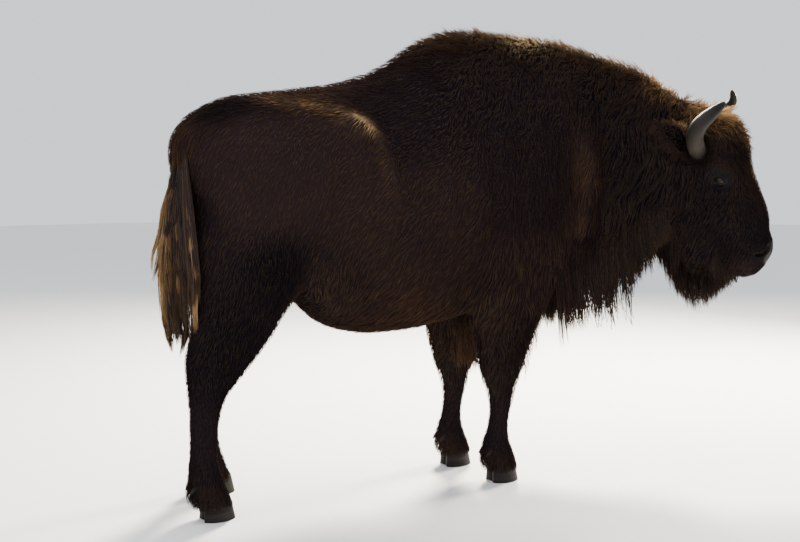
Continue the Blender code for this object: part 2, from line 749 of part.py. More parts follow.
def colours_of(name):
    kinds = sorted((kind for kind in COLOURS if name.startswith(kind)), key=len)
    return COLOURS[kinds[-1]]


def main():
    for obj in list(bpy.data.objects):
        bpy.data.objects.remove(obj)
    parts = parted_body()
    for word, side in (("right", -1), ("left", 1)):
        for kind, make in (("horn", horn), ("ear", ear), ("eye", eye)):
            piece = make(f"{kind}_{word}", side)
            parts["head"] = seat(parts["head"], piece)
            parts[piece.name] = piece
    whole_tail = tail()
    parts["trunk"] = seat(parts["trunk"], whole_tail)
    tassel = (Vector((-0.7, 0, TASSEL_TOP - 0.3)), (0.4, 0.4, 0.6))
    parts["tail_tassel"], parts["tail"] = part_off(whole_tail, "tail_tassel", *tassel)
    for name, (rows, side, step) in LEGS.items():
        foot = foot_of(rows, side, step)
        rear = min(row[1] for row in rows if row[0] < 0.2) + step + 0.006
        for word, side_of_foot in (("right", -1), ("left", 1)):
            hoof = claw(f"claw_{name}_{word}", foot, side_of_foot)
            parts[hoof.name] = hoof
            spur = dewclaw(f"dewclaw_{name}_{word}", foot, rear, side_of_foot)
            parts[name] = seat(parts[name], spur)
            parts[spur.name] = spur
    wisent = bpy.data.collections.new("wisent")
    bpy.context.scene.collection.children.link(wisent)
    materials = {}
    for name, obj in parts.items():
        obj.name = name
        obj.data.name = name
        largest_body(obj)
        obj.data.transform(Matrix.Translation(FRAME_SHIFT))
        for holder in list(obj.users_collection):
            holder.objects.unlink(obj)
        wisent.objects.link(obj)
        look = colours_of(name)
        if look not in materials:
            materials[look] = material(f"{name}_surface", *look)
        obj.data.materials.clear()
        obj.data.materials.append(materials[look])
        obj.data.shade_smooth()
        obj.data.set_sharp_from_angle(angle=math.radians(50))


main()
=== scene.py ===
"""The look of a standing wisent cow in winter coat, a still, life-size museum model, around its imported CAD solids.

Metres, +Z up. The trunk looks along +X and the neck turns the head to the animal's right, towards -Y.
"""

import math

import bpy
import numpy as np
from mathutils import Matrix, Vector


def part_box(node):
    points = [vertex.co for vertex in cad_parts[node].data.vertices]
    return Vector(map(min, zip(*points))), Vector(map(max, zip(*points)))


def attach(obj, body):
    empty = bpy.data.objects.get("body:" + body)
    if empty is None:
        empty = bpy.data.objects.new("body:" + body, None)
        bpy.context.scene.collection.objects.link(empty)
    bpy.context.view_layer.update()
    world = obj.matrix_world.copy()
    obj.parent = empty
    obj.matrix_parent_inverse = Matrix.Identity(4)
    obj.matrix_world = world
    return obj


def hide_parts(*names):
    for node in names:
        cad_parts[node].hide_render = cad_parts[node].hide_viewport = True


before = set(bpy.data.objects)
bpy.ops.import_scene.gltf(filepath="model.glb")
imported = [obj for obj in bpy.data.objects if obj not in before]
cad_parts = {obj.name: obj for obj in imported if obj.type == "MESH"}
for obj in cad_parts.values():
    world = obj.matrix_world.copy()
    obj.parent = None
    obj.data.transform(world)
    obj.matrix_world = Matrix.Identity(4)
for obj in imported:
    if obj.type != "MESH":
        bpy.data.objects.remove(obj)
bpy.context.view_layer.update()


# ---------------------------------------------------------------- studio: floor, lights and camera
# A pale painted floor on which the model stands, a pale room round it, and soft round lamps: two strong
# ones behind that edge the coat with light, and weaker ones above and on the side that is looked at.

FLOOR_MIDDLE, FLOOR_RADIUS, FLOOR_SIDES = 3.0, 14.0, 96
FLOOR_COLOUR = (0.80, 0.80, 0.79, 1.0)
FLOOR_MOTTLE = (0.77, 0.775, 0.78, 1.0)
ROOM_COLOUR, ROOM_STRENGTH = (0.90, 0.93, 0.98, 1.0), 1.25
NOISE_ROUGHNESS = 0.55
FOCAL_LENGTH, SENSOR_WIDTH = 58.05, 36.0  # millimetres
CAMERA_PLACE = (-2.3080, -4.3398, 1.38)
CAMERA_PITCH, CAMERA_HEADING = math.radians(83.543), math.radians(-25.0)


class Wire:
    """A shader socket on which Python arithmetic adds the Math nodes."""

    def __init__(self, finish, socket):
        self.finish, self.socket = finish, socket

    def math(self, operation, *values):
        return self.finish.node("Math", {"operation": operation}, dict(enumerate(values)))

    def __add__(self, other):
        return self.math("ADD", self, other)

    def __radd__(self, other):
        return self.math("ADD", other, self)

    def __sub__(self, other):
        return self.math("SUBTRACT", self, other)

    def __rsub__(self, other):
        return self.math("SUBTRACT", other, self)

    def __mul__(self, other):
        return self.math("MULTIPLY", self, other)

    def between(self, low, high):
        """0 below low, 1 above high, and a smooth step from one to the other."""
        return self.finish.node(
            "MapRange", {"interpolation_type": "SMOOTHSTEP"}, {"Value": self, "From Min": low, "From Max": high}
        )


class Finish:
    """A material while it is put together; node() adds any node to it."""

    def __init__(self, name, **constants):
        self.material = bpy.data.materials.new(name)
        self.material.use_nodes = True
        self.tree = self.material.node_tree
        self.shader = self.tree.nodes["Principled BSDF"]
        for socket, value in constants.items():
            self.shader.inputs[socket.replace("_", " ")].default_value = value

    def node(self, kind, settings=None, sockets=None, out=0):
        """New node of a type: its settings are set first, then its sockets' values or links."""
        made = self.tree.nodes.new("ShaderNode" + kind)
        for setting, value in (settings or {}).items():
            setattr(made, setting, value)
        for key, value in (sockets or {}).items():
            self.feed(made.inputs[key], value)
        return Wire(self, made.outputs[out])

    def feed(self, socket, value):
        if isinstance(value, Wire):
            self.tree.links.new(value.socket, socket)
        else:
            socket.default_value = value

    def mix(self, share, one, other):
        """Colour that goes from one to the other by share."""
        return self.node("Mix", {"data_type": "RGBA"}, {0: share, 6: one, 7: other}, out=2)

    def noise(self, scale, detail=3.0, stretch=(1, 1, 1), turn=(0, 0, 0)):
        """Noise on the object's own coordinates, stretched and turned."""
        place = self.node("TexCoord", out=3)
        mapped = self.node("Mapping", None, {"Vector": place, "Rotation": turn, "Scale": stretch})
        sockets = {"Vector": mapped, "Scale": scale, "Detail": detail, "Roughness": NOISE_ROUGHNESS}
        return self.node("TexNoise", None, sockets)

    def attribute(self, name):
        return self.node("Attribute", {"attribute_name": name}, out=2)

    def colour(self, value):
        self.feed(self.shader.inputs["Base Color"], value)

    def bump(self, height, distance, strength=1.0):
        made = self.node("Bump", None, {"Height": height, "Distance": distance, "Strength": strength})
        self.feed(self.shader.inputs["Normal"], made)


def new_object(name, points, faces, material=None):
    """Mesh object from an array of points and one of faces with equally many corners each."""
    mesh = bpy.data.meshes.new(name)
    mesh.vertices.add(len(points))
    mesh.vertices.foreach_set("co", np.ascontiguousarray(points, np.float32).ravel())
    corners = faces.shape[1]
    mesh.loops.add(faces.size)
    mesh.loops.foreach_set("vertex_index", np.ascontiguousarray(faces, np.int32).ravel())
    mesh.polygons.add(len(faces))
    mesh.polygons.foreach_set("loop_start", np.arange(0, faces.size, corners, dtype=np.int32))
    mesh.polygons.foreach_set("use_smooth", np.ones(len(faces), bool))
    mesh.update(calc_edges=True)
    made = bpy.data.objects.new(name, mesh)
    bpy.context.scene.collection.objects.link(made)
    if material is not None:
        mesh.materials.append(material)
    return made


angles = np.linspace(0, 2 * math.pi, FLOOR_SIDES + 1)[:-1]
rim = np.stack([np.cos(angles), np.sin(angles)], 1)
circles = [np.c_[rim * radius, np.zeros(FLOOR_SIDES)] for radius in (FLOOR_MIDDLE, FLOOR_RADIUS)]
floor_points = np.concatenate([[[0, 0, 0]], *circles])
near = 1 + np.arange(FLOOR_SIDES)
far = near + FLOOR_SIDES
near_next, far_next = np.roll(near, -1), np.roll(far, -1)
floor_corners = (0 * near, near, near_next), (near, far, far_next), (near, far_next, near_next)
floor_faces = np.concatenate([np.stack(corners, 1) for corners in floor_corners])
paint = Finish("floor_paint", Roughness=0.75)
mottle = paint.noise(1.3, 4.0)
paint.colour(paint.mix(mottle.between(0.2, 0.8), FLOOR_COLOUR, FLOOR_MOTTLE))
paint.bump(paint.noise(90.0, 2.0), 0.0006)
floor = new_object("studio_floor", floor_points, floor_faces, paint.material)

world = bpy.data.worlds.new("studio_room")
bpy.context.scene.world = world
world.use_nodes = True
world.node_tree.nodes["Background"].inputs["Color"].default_value = ROOM_COLOUR
world.node_tree.nodes["Background"].inputs["Strength"].default_value = ROOM_STRENGTH

# name: place, point that it faces, size, power, colour
LAMPS = {
    "back_lamp": ((1.6, 3.0, 3.6), (0.2, 0.0, 1.4), 1.2, 1250.0, (1.0, 0.89, 0.74)),
    "rim_lamp": ((3.9, 1.3, 2.3), (0.7, -0.1, 1.2), 1.2, 620.0, (1.0, 0.90, 0.75)),
    "top_lamp": ((-1.2, 0.4, 4.2), (0.0, 0.1, 1.2), 2.4, 90.0, (1.0, 0.97, 0.92)),
    "side_lamp": ((-2.6, -4.2, 2.9), (0.1, 0.0, 0.9), 3.0, 100.0, (0.96, 0.97, 1.0)),
}


def facing(place, target):
    """Turn that points an object's -Z from a place at a target, with its Y axis up."""
    away = Vector(place) - Vector(target)
    return away.to_track_quat("Z", "Y").to_euler()


for name, (place, target, size, power, colour) in LAMPS.items():
    lamp = bpy.data.lights.new(name, "AREA")
    lamp.shape, lamp.size, lamp.energy, lamp.color = "DISK", size, power, colour
    holder = bpy.data.objects.new(name, lamp)
    holder.location, holder.rotation_euler = place, facing(place, target)
    bpy.context.scene.collection.objects.link(holder)

lens = bpy.data.cameras.new("camera")
lens.lens, lens.sensor_width = FOCAL_LENGTH, SENSOR_WIDTH
camera = bpy.data.objects.new("camera", lens)
camera.location, camera.rotation_euler = CAMERA_PLACE, (CAMERA_PITCH, 0, CAMERA_HEADING)
bpy.context.scene.collection.objects.link(camera)
bpy.context.scene.camera = camera


# ---------------------------------------------------------------- hide: one skin over head, neck, trunk and legs
# The tanned hide of a mounted animal: one closed surface drawn over a sculpted form, here remade from the
# CAD's flesh and drawn in by the depth of the coat, so that the hair tips come out at the solids' outline.

# The neck's bend, as the solids have it: the point where it starts, its radius and how far it turns.
BEND_START = np.array([0.3084, 0.1025])
BEND_RADIUS = 0.7813
BEND_TURN = math.radians(44)
# The head's own axes: poll at 0.72 m along the neck, the face's slope and the head's small roll.
POLL = 0.72
POLL_HEIGHT = 1.36
FACE_SLOPE = math.radians(64.8)
HEAD_ROLL = math.radians(5)
ROLL_CENTRE = np.array([0.17, -0.014, 0.0])


def unbend(points):
    """Places with the neck's bend taken out, as (along, across, up), and the heading angle at each.

    Before the bend along is x, past its end it runs on along the last heading, and inside it along is
    the arc's length at the point's angle about the bend's centre and across the distance from the arc.
    """
    x, y = points[:, 0] - BEND_START[0], points[:, 1] - BEND_START[1]
    angle = np.clip(np.arctan2(x, y + BEND_RADIUS), 0, BEND_TURN)
    sin, cos = np.sin(angle), np.cos(angle)
    ahead = x * cos - (y + BEND_RADIUS) * sin
    across = x * sin + (y + BEND_RADIUS) * cos - BEND_RADIUS
    along = BEND_RADIUS * angle + ahead
    return np.stack([along, across, points[:, 2]], 1), angle


def folded(straight):
    """Unbent places folded onto the left side, as (along, out from the middle, up)."""
    return np.c_[straight[:, 0], np.abs(straight[:, 1]), straight[:, 2]]


def head_axes():
    """Origin at the poll and the three directions down the face, out of it and to the animal's left."""
    sin, cos = math.sin(BEND_TURN), math.cos(BEND_TURN)
    heading, left, up = np.array([cos, -sin, 0]), np.array([sin, cos, 0]), np.array([0, 0, 1.0])
    beyond = POLL - BEND_RADIUS * BEND_TURN
    end = np.array([BEND_START[0] + BEND_RADIUS * sin, BEND_START[1] - BEND_RADIUS * (1 - cos), 0])
    poll = end + beyond * heading + POLL_HEIGHT * up
    down = math.cos(FACE_SLOPE) * heading - math.sin(FACE_SLOPE) * up
    front = math.sin(FACE_SLOPE) * heading + math.cos(FACE_SLOPE) * up
    axes = np.stack([down, front, left])
    centre = ROLL_CENTRE @ axes
    cos, sin = math.cos(HEAD_ROLL), math.sin(HEAD_ROLL)
    roll = cos * np.eye(3) + sin * np.cross(heading, np.eye(3)).T + (1 - cos) * np.outer(heading, heading)
    turned = axes @ roll.T
    return poll + centre - ROLL_CENTRE @ turned, turned


HEAD_ORIGIN, HEAD_AXES = head_axes()


def on_head(places):
    """Frame points of (down the face, out of it, to the left) places of the head."""
    return HEAD_ORIGIN + np.asarray(places, float) @ HEAD_AXES


def of_head(points):
    """(down, out, left) places of frame points on the head's axes."""
    return (points - HEAD_ORIGIN) @ HEAD_AXES.T


# How the coat lies, place by place, the same on both sides. Body places are (along, out from the middle,
# up) with the bend taken out, along counted from the bend's start; head places are (down the face, out of
# it, out to the side). reach is how far a place counts. Depth, length and width of the hair are in mm; curl
# bends it; the lie is the way it points. brown goes from blackish to brown. gold and straw are the shares of
# those tones, and none where they aren't given.
BODY_COAT = {
    # place: (where), reach, depth, length, width, curl, (lie), brown, gold, straw
    "dock": ((-1.41, 0.04, 1.33), 0.09, 12, 48, 3.2, 0.2, (-0.5, 0.1, -0.9), 0.6, 0.1),
    "rump_top": ((-1.25, 0.05, 1.47), 0.12, 14, 42, 3.1, 0.2, (-1, 0.2, -0.3), 0.15),
    "loin": ((-1.06, 0.09, 1.49), 0.08, 16, 44, 3.0, 0.3, (-1, 0.25, -0.1), 0.6, 0.06),
    "loin_fore": ((-0.90, 0.15, 1.46), 0.07, 16, 42, 3.0, 0.4, (-1, 0.3, -0.3), 0.8, 0.1),
    "loin_middle": ((-0.80, 0.02, 1.56), 0.08, 18, 46, 3.1, 0.3, (-1, 0.2, 0.0), 0.5, 0.05),
    "hip": ((-0.755, 0.22, 1.385), 0.05, 15, 36, 2.8, 0.4, (-0.8, 0.3, -0.6), 0.95, 0.1),
    "below_hip": ((-0.86, 0.24, 1.30), 0.09, 13, 36, 2.9, 0.1, (-0.7, 0.1, -0.7), 1.0, 0.06),
    "haunch": ((-1.20, 0.25, 1.17), 0.22, 12, 34, 2.9, 0.1, (-0.5, 0.1, -0.85), 1.15, 0.05),
    # buttock and thigh are darkened further as painted shade beside the tail
    "buttock": ((-1.37, 0.12, 1.05), 0.14, 13, 44, 3.1, 0.1, (-0.25, 0.2, -1), 0.15),
    "thigh": ((-1.15, 0.26, 0.88), 0.16, 11, 32, 2.8, 0.1, (-0.35, 0.0, -0.95), 0.12),
    "inner_thigh": ((-1.15, 0.05, 0.80), 0.12, 9, 26, 2.8, 0.1, (-0.2, 0.0, -1), 0.3),
    "stifle": ((-0.93, 0.24, 0.83), 0.11, 13, 40, 2.9, 0.2, (-0.2, 0.0, -1), 0.5, 0.05),
    "gaskin": ((-1.27, 0.16, 0.66), 0.10, 9, 28, 2.5, 0.1, (-0.35, 0.0, -0.95), 0.12),
    "hock": ((-1.34, 0.16, 0.50), 0.08, 7, 20, 2.2, 0.1, (-0.2, 0.0, -1), 0.12),
    "hind_cannon": ((-1.37, 0.16, 0.32), 0.08, 6, 17, 2.0, 0.1, (-0.1, 0.0, -1), 0.55),
    "hind_fetlock": ((-1.37, 0.16, 0.13), 0.05, 6, 30, 2.1, 0.3, (-0.15, 0.1, -1), 0.3),
    "hind_pastern": ((-1.31, 0.16, 0.075), 0.04, 4, 28, 2.0, 0.3, (0.25, 0.1, -1), 0.35),
    "flank": ((-0.80, 0.29, 1.08), 0.16, 15, 40, 3.1, 0.2, (-0.7, 0.0, -0.7), 0.95, 0.08),
    "barrel": ((-0.50, 0.32, 1.05), 0.22, 18, 46, 3.4, 0.3, (-0.7, 0.0, -0.7), 0.8, 0.05),
    "ribs_high": ((-0.60, 0.22, 1.38), 0.16, 18, 46, 3.2, 0.3, (-0.85, 0.15, -0.5), 0.6),
    "back": ((-0.60, 0.03, 1.61), 0.14, 24, 54, 3.3, 0.4, (-1, 0.25, 0.0), 0.45, 0.03),
    "back_side": ((-0.52, 0.14, 1.56), 0.08, 22, 50, 3.2, 0.4, (-0.9, 0.3, -0.3), 0.45),
    "belly_side": ((-0.60, 0.25, 0.74), 0.14, 18, 52, 3.2, 0.4, (-0.55, -0.1, -0.8), 0.8, 0.1),
    "belly": ((-0.65, 0.05, 0.60), 0.16, 20, 58, 3.2, 0.3, (-0.75, 0.0, -0.6), 0.6, 0.05),
    "belly_rear": ((-1.00, 0.08, 0.74), 0.12, 13, 38, 2.9, 0.2, (-0.7, 0.0, -0.6), 0.6),
    "hump_rear": ((-0.38, 0.03, 1.73), 0.11, 32, 64, 3.4, 0.5, (-0.9, 0.3, 0.15), 0.45, 0.06),
    "hump_top": ((-0.18, 0.015, 1.77), 0.06, 36, 68, 3.4, 0.5, (-0.9, 0.3, 0.2), 0.6, 0.25),
    "hump_patch": ((0.0, 0.02, 1.76), 0.035, 34, 60, 3.4, 0.9, (-0.7, 0.6, 0.0), 0.8, 0.7, 0.4),
    "hump_side": ((-0.20, 0.20, 1.48), 0.19, 28, 56, 3.2, 0.5, (-0.55, 0.25, -0.8), 0.6),
    "hump_high": ((-0.05, 0.11, 1.68), 0.09, 30, 58, 3.2, 0.6, (-0.6, 0.4, -0.6), 0.5),
    "shoulder": ((-0.12, 0.28, 1.15), 0.20, 25, 52, 3.2, 0.4, (-0.45, 0.05, -0.9), 0.65),
    "shoulder_low": ((-0.14, 0.26, 0.87), 0.14, 22, 56, 3.4, 0.5, (-0.2, 0.0, -1), 0.65, 0.04),
    "elbow": ((-0.28, 0.22, 0.74), 0.10, 20, 54, 3.4, 0.4, (-0.35, 0.0, -1), 0.45, 0.05),
    "forearm": ((-0.16, 0.15, 0.60), 0.10, 22, 62, 3.1, 0.5, (-0.3, 0.1, -1), 0.3),
    "knee": ((-0.18, 0.15, 0.43), 0.07, 15, 48, 2.5, 0.4, (-0.2, 0.1, -1), 0.35),
    "fore_cannon": ((-0.19, 0.145, 0.26), 0.07, 6, 17, 2.0, 0.1, (-0.1, 0.0, -1), 0.55),
    "fore_fetlock": ((-0.20, 0.145, 0.13), 0.05, 6, 30, 2.1, 0.3, (-0.15, 0.1, -1), 0.3),
    "fore_pastern": ((-0.16, 0.145, 0.075), 0.04, 4, 28, 2.0, 0.3, (0.25, 0.1, -1), 0.35),
    "brisket": ((0.06, 0.10, 0.74), 0.12, 26, 75, 3.5, 0.5, (0.0, 0.1, -1), 0.3),
    "chest": ((0.20, 0.12, 0.95), 0.12, 28, 70, 3.5, 0.5, (-0.2, 0.1, -1), 0.3),
    "shoulder_edge": ((0.20, 0.21, 1.20), 0.08, 27, 56, 3.2, 0.4, (-0.4, 0.1, -0.9), 1.2, 0.12),
    "shoulder_fore": ((0.18, 0.19, 1.00), 0.07, 26, 56, 3.2, 0.4, (-0.3, 0.1, -0.9), 1.2, 0.12),
    "neck_side": ((0.40, 0.20, 1.20), 0.14, 30, 64, 3.3, 0.5, (-0.35, 0.1, -0.95), 0.12),
    "neck_high": ((0.34, 0.14, 1.50), 0.12, 32, 66, 3.3, 0.6, (-0.5, 0.4, -0.75), 0.25),
    "crest_side": ((0.42, 0.08, 1.585), 0.07, 36, 70, 3.2, 0.7, (-0.5, 0.5, -0.5), 0.3, 0.05),
    "nape_side": ((0.60, 0.13, 1.44), 0.08, 34, 68, 3.2, 0.7, (-0.3, 0.4, -0.8), 0.1),
    # crest and nape, like the hump top: gold and straw partly bleached hair, partly painted rim light from behind
    "crest_low": ((0.20, 0.012, 1.71), 0.06, 38, 76, 3.4, 0.6, (-0.6, 0.4, 0.25), 0.7, 0.3),
    "crest": ((0.42, 0.012, 1.65), 0.06, 42, 80, 3.4, 0.6, (-0.4, 0.5, 0.25), 0.7, 0.40, 0.1),
    "nape": ((0.58, 0.03, 1.565), 0.055, 42, 80, 3.3, 0.7, (-0.2, 0.6, -0.1), 0.75, 0.75, 0.2),
    "throat": ((0.42, 0.06, 0.86), 0.13, 28, 80, 3.5, 0.4, (0.0, 0.05, -1), 0.12),
    "throat_top": ((0.58, 0.14, 1.10), 0.12, 26, 60, 3.1, 0.5, (-0.25, 0.0, -1), 0.05),
}
HEAD_COAT = {
    # crown: gold and straw partly bleached hair, partly painted rim light from behind
    "crown": ((-0.04, 0.07, 0.0), 0.055, 32, 68, 2.8, 0.8, (0.7, 0.6, 0.1), 0.8, 1.0, 0.25),
    "crown_side": ((0.0, 0.03, 0.10), 0.05, 26, 54, 2.6, 0.8, (0.7, 0.4, 0.5), 0.3, 0.2),
    "forehead": ((0.07, 0.13, 0.03), 0.07, 24, 50, 2.5, 0.7, (1.0, 0.3, 0.1), 0.35, 0.12),
    "brow": ((0.14, 0.10, 0.08), 0.06, 14, 32, 2.2, 0.4, (1.0, 0.1, 0.15), 0.08),
    "between_eyes": ((0.20, 0.13, 0.0), 0.06, 16, 34, 2.2, 0.4, (1.0, 0.1, 0.1), 0.15, 0.1),
    "nose_bridge": ((0.34, 0.11, 0.0), 0.07, 8, 19, 1.9, 0.2, (1.0, 0.0, 0.1), 0.15, 0.05),
    "nose_side": ((0.36, 0.06, 0.07), 0.05, 7, 17, 1.7, 0.2, (0.9, -0.3, 0.1), 0.05),
    "nose_low": ((0.45, 0.08, 0.0), 0.04, 4, 10, 1.5, 0.1, (1.0, 0.0, 0.2), 0.15),
    "muzzle": ((0.53, 0.05, 0.05), 0.045, 2.5, 6, 1.2, 0.0, (0.8, -0.3, 0.3), 0.1),
    "lip": ((0.59, -0.02, 0.02), 0.035, 2.5, 7, 1.2, 0.0, (0.8, -0.5, 0.1), 0.3),
    "chin": ((0.58, -0.09, 0.02), 0.04, 6, 22, 1.6, 0.2, (0.6, -0.8, 0.0), 0.35, 0.05),
    "horn_root": ((0.075, 0.0, 0.13), 0.04, 12, 26, 2.1, 0.5, (0.7, 0.3, 0.3), 0.1),
    "behind_horn": ((0.05, -0.10, 0.12), 0.06, 20, 42, 2.5, 0.6, (0.6, -0.6, 0.3), 0.1),
    "temple": ((0.13, -0.03, 0.13), 0.05, 9, 22, 2.0, 0.3, (0.9, -0.3, 0.1), 0.08),
    "orbit": ((0.185, 0.005, 0.125), 0.045, 3, 7, 1.3, 0.1, (0.8, -0.5, 0.0), 0.5, 0.0, 0.012),
    "cheek": ((0.28, -0.08, 0.12), 0.08, 10, 24, 2.0, 0.3, (0.6, -0.75, 0.0), 0.05),
    "jaw_angle": ((0.25, -0.19, 0.08), 0.08, 20, 48, 2.6, 0.5, (0.7, -0.65, 0.0), 0.1),
    "muzzle_side": ((0.44, 0.0, 0.085), 0.05, 5, 12, 1.5, 0.1, (0.8, -0.5, 0.1), 0.05),
    "jaw_side": ((0.42, -0.10, 0.07), 0.06, 10, 29, 2.1, 0.3, (0.6, -0.8, 0.0), 0.12),
    "under_jaw": ((0.42, -0.16, 0.0), 0.07, 16, 48, 2.6, 0.3, (0.5, -0.85, 0.0), 0.15),
}
COLUMNS = ("depth", "length", "width", "curl", "lie", "brown", "gold", "straw")
SHARPNESS = 2.0  # how fast a place stops counting
LEAST_AWAY = 0.10  # added to the distance, so that the nearest place doesn't take all
MIDDLE_WIDTH = 0.03  # how near the middle line the lie stops pointing sideways


def coat_chart():
    """Places, reaches and columns of both tables, head rows turned into unbent body directions."""
    rows, places, reaches = [], [], []
    for where, reach, *rest in BODY_COAT.values():
        rows.append(rest)
        places.append(where)
        reaches.append(reach)
    sin, cos = math.sin(BEND_TURN), math.cos(BEND_TURN)
    for where, reach, *rest in HEAD_COAT.values():
        lie = np.array(rest[4]) @ HEAD_AXES
        rest[4] = (lie[0] * cos - lie[1] * sin, lie[0] * sin + lie[1] * cos, lie[2])
        rows.append(rest)
        places.append(folded(unbend(on_head([where]))[0])[0])
        reaches.append(reach)
    rows = [[*row, 0, 0][: len(COLUMNS)] for row in rows]
    columns = {name: np.array([row[i] for row in rows], float) for i, name in enumerate(COLUMNS)}
    for name in ("depth", "length", "width"):
        columns[name] /= 1000
    return np.array(places), np.array(reaches), columns


PLACES, REACHES, CHART = coat_chart()


def coat_at(points):
    """Every column of the chart at frame points: the places' values, weighed by nearness over reach.

    The weight is 1 / (distance^2 / reach^2 + a small share)^2. The lie comes back in frame directions.
    """
    straight, angle = unbend(points)
    here = folded(straight)
    away = ((here[:, None, :] - PLACES[None]) ** 2).sum(2) / REACHES**2
    weight = (away + LEAST_AWAY) ** -SHARPNESS
    weight /= weight.sum(1, keepdims=True)
    found = {name: weight @ column for name, column in CHART.items()}
    along, sideways, up = found["lie"].T
    sideways = sideways * np.sign(straight[:, 1]) * np.minimum(here[:, 1] / MIDDLE_WIDTH, 1)
    sin, cos = np.sin(angle), np.cos(angle)
    found["lie"] = np.stack([along * cos + sideways * sin, -along * sin + sideways * cos, up], 1)
    return found


FLESH = (
    "trunk", "neck", "head", "foreleg_right", "foreleg_left", "hindleg_right", "hindleg_left",
    "throat_mane", "chin_beard", "tail",
)
MERGE = 2e-5  # points of one node that are nearer than this are one
OVERLAP = 0.0012  # how far neighbours are swollen to close the thin cuts between them
FORM_VOXEL = 0.007
SKIN_VOXEL = 0.0047
FORM_ROUNDS, DRAWN_ROUNDS = 14, 6
FORM_CALM = ((0.16, 0.30), (0.12, 0.5))  # heights, and how much is smoothed there: the feet keep their form
SKIN_FACES = 112000
FOLD_SHARE = {"throat_mane": 0.30, "chin_beard": 0.25}  # height that is left of the hanging solids
DOCK_LEVELS, DOCK_TIP, DOCK_GROWTH = 8, 0.42, 0.30  # the dock's width over the tail's, and its growth upwards


def mesh_arrays(mesh):
    """Points and triangles of a mesh."""
    mesh.calc_loop_triangles()
    points = np.empty(len(mesh.vertices) * 3, np.float32)
    mesh.vertices.foreach_get("co", points)
    faces = np.empty(len(mesh.loop_triangles) * 3, np.int32)
    mesh.loop_triangles.foreach_get("vertices", faces)
    return points.reshape(-1, 3).astype(float), faces.reshape(-1, 3)


def cad_points(node):
    """Points and triangles of a copy of a CAD node's mesh, with the points that share a place merged."""
    points, faces = mesh_arrays(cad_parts[node].data)
    _, first, number = np.unique(np.round(points / MERGE).astype(int), axis=0, return_index=True, return_inverse=True)
    faces = number.reshape(-1)[faces]
    whole = (faces[:, 0] != faces[:, 1]) & (faces[:, 1] != faces[:, 2]) & (faces[:, 2] != faces[:, 0])
    return points[first], faces[whole]


def unit(vectors, least=0.0):
    """Vectors over their own length, or over the least length where they are shorter."""
    return vectors / np.maximum(np.linalg.norm(vectors, axis=-1, keepdims=True), least)


def normals_of(points, faces):
    """Unit normals at the points: the sum of the cross products of the faces round each."""
    a, b, c = points[faces[:, 0]], points[faces[:, 1]], points[faces[:, 2]]
    cross = np.cross(b - a, c - a)
    if faces.shape[1] == 4:
        cross = np.cross(c - a, points[faces[:, 3]] - b)
    total = np.stack([
        sum(np.bincount(faces[:, i], cross[:, axis], len(points)) for i in range(faces.shape[1])) for axis in range(3)
    ], 1)
    return unit(total, 1e-12)


def drawn_in(node, points):
    """The hanging hair's solids shrunk to what carries the hair: a low fold, a chin and the tail's dock."""
    if node in FOLD_SHARE:
        top = points[:, 2].max()
        points[:, 2] = top - FOLD_SHARE[node] * (top - points[:, 2])
    if node == "tail":
        low, high = points[:, 2].min(), points[:, 2].max()
        level = np.clip((points[:, 2] - low) / (high - low), 0, 1)
        bins = np.clip((level * DOCK_LEVELS).astype(int), 0, DOCK_LEVELS - 1)
        held = np.maximum(np.bincount(bins, minlength=DOCK_LEVELS), 1)
        centres = [np.bincount(bins, points[:, i], DOCK_LEVELS) / held for i in (0, 1)]
        heights = (np.arange(DOCK_LEVELS) + 0.5) / DOCK_LEVELS
        middle = np.stack([np.interp(level, heights, centre) for centre in centres], 1)
        share = DOCK_TIP + DOCK_GROWTH * level[:, None]
        points[:, :2] = middle + share * (points[:, :2] - middle)
    return points


def voxel_remeshed(name, points, faces, size):
    """The one closed surface round all the shells of a mesh, as points and quads."""
    rough = new_object(name, points, faces)
    remesh = rough.modifiers.new("remesh", "REMESH")
    remesh.mode, remesh.voxel_size, remesh.adaptivity = "VOXEL", size, 0.0
    graph = bpy.context.evaluated_depsgraph_get()
    whole = rough.evaluated_get(graph).to_mesh()
    found = np.empty(len(whole.vertices) * 3, np.float32)
    whole.vertices.foreach_get("co", found)
    corners = np.empty(len(whole.loops), np.int32)
    whole.loops.foreach_get("vertex_index", corners)
    quads = corners.reshape(-1, 4)
    rough.evaluated_get(graph).to_mesh_clear()
    bpy.data.objects.remove(rough)
    return found.reshape(-1, 3).astype(float), quads


def edges_of(faces):
    """Each edge of a mesh once, as pairs of point numbers."""
    corners = faces.shape[1]
    pairs = np.concatenate([np.stack([faces[:, i], faces[:, (i + 1) % corners]], 1) for i in range(corners)])
    pairs.sort(axis=1)
    return np.unique(pairs, axis=0)


def relaxed(points, edges, rounds, share=0.5):
    """Points moved, round by round, by a share of the way to the mean of their neighbours."""
    count = np.bincount(edges.ravel(), minlength=len(points))[:, None]
    share = np.broadcast_to(np.asarray(share, float).reshape(-1, 1), (len(points), 1))
    for _ in range(rounds):
        total = np.stack([
            np.bincount(edges[:, 0], points[edges[:, 1], i], len(points))
            + np.bincount(edges[:, 1], points[edges[:, 0], i], len(points)) for i in range(3)
        ], 1)
        points = points + share * (total / np.maximum(count, 1) - points)
    return points


shells, walls, start = [], [], 0
for node in FLESH:
    points, faces = cad_points(node)
    points = points + OVERLAP * normals_of(points, faces)
    points = drawn_in(node, points)
    shells.append(points)
    walls.append(faces + start)
    start += len(points)
form, quads = voxel_remeshed("form", np.concatenate(shells), np.concatenate(walls), FORM_VOXEL)
form_edges = edges_of(quads)
form = relaxed(form, form_edges, FORM_ROUNDS, np.interp(form[:, 2], *FORM_CALM))
form = form + OVERLAP * 1.5 * normals_of(form, quads)
inset = coat_at(form)["depth"]
drawn = form - inset[:, None] * normals_of(form, quads)
drawn = relaxed(drawn, form_edges, DRAWN_ROUNDS)


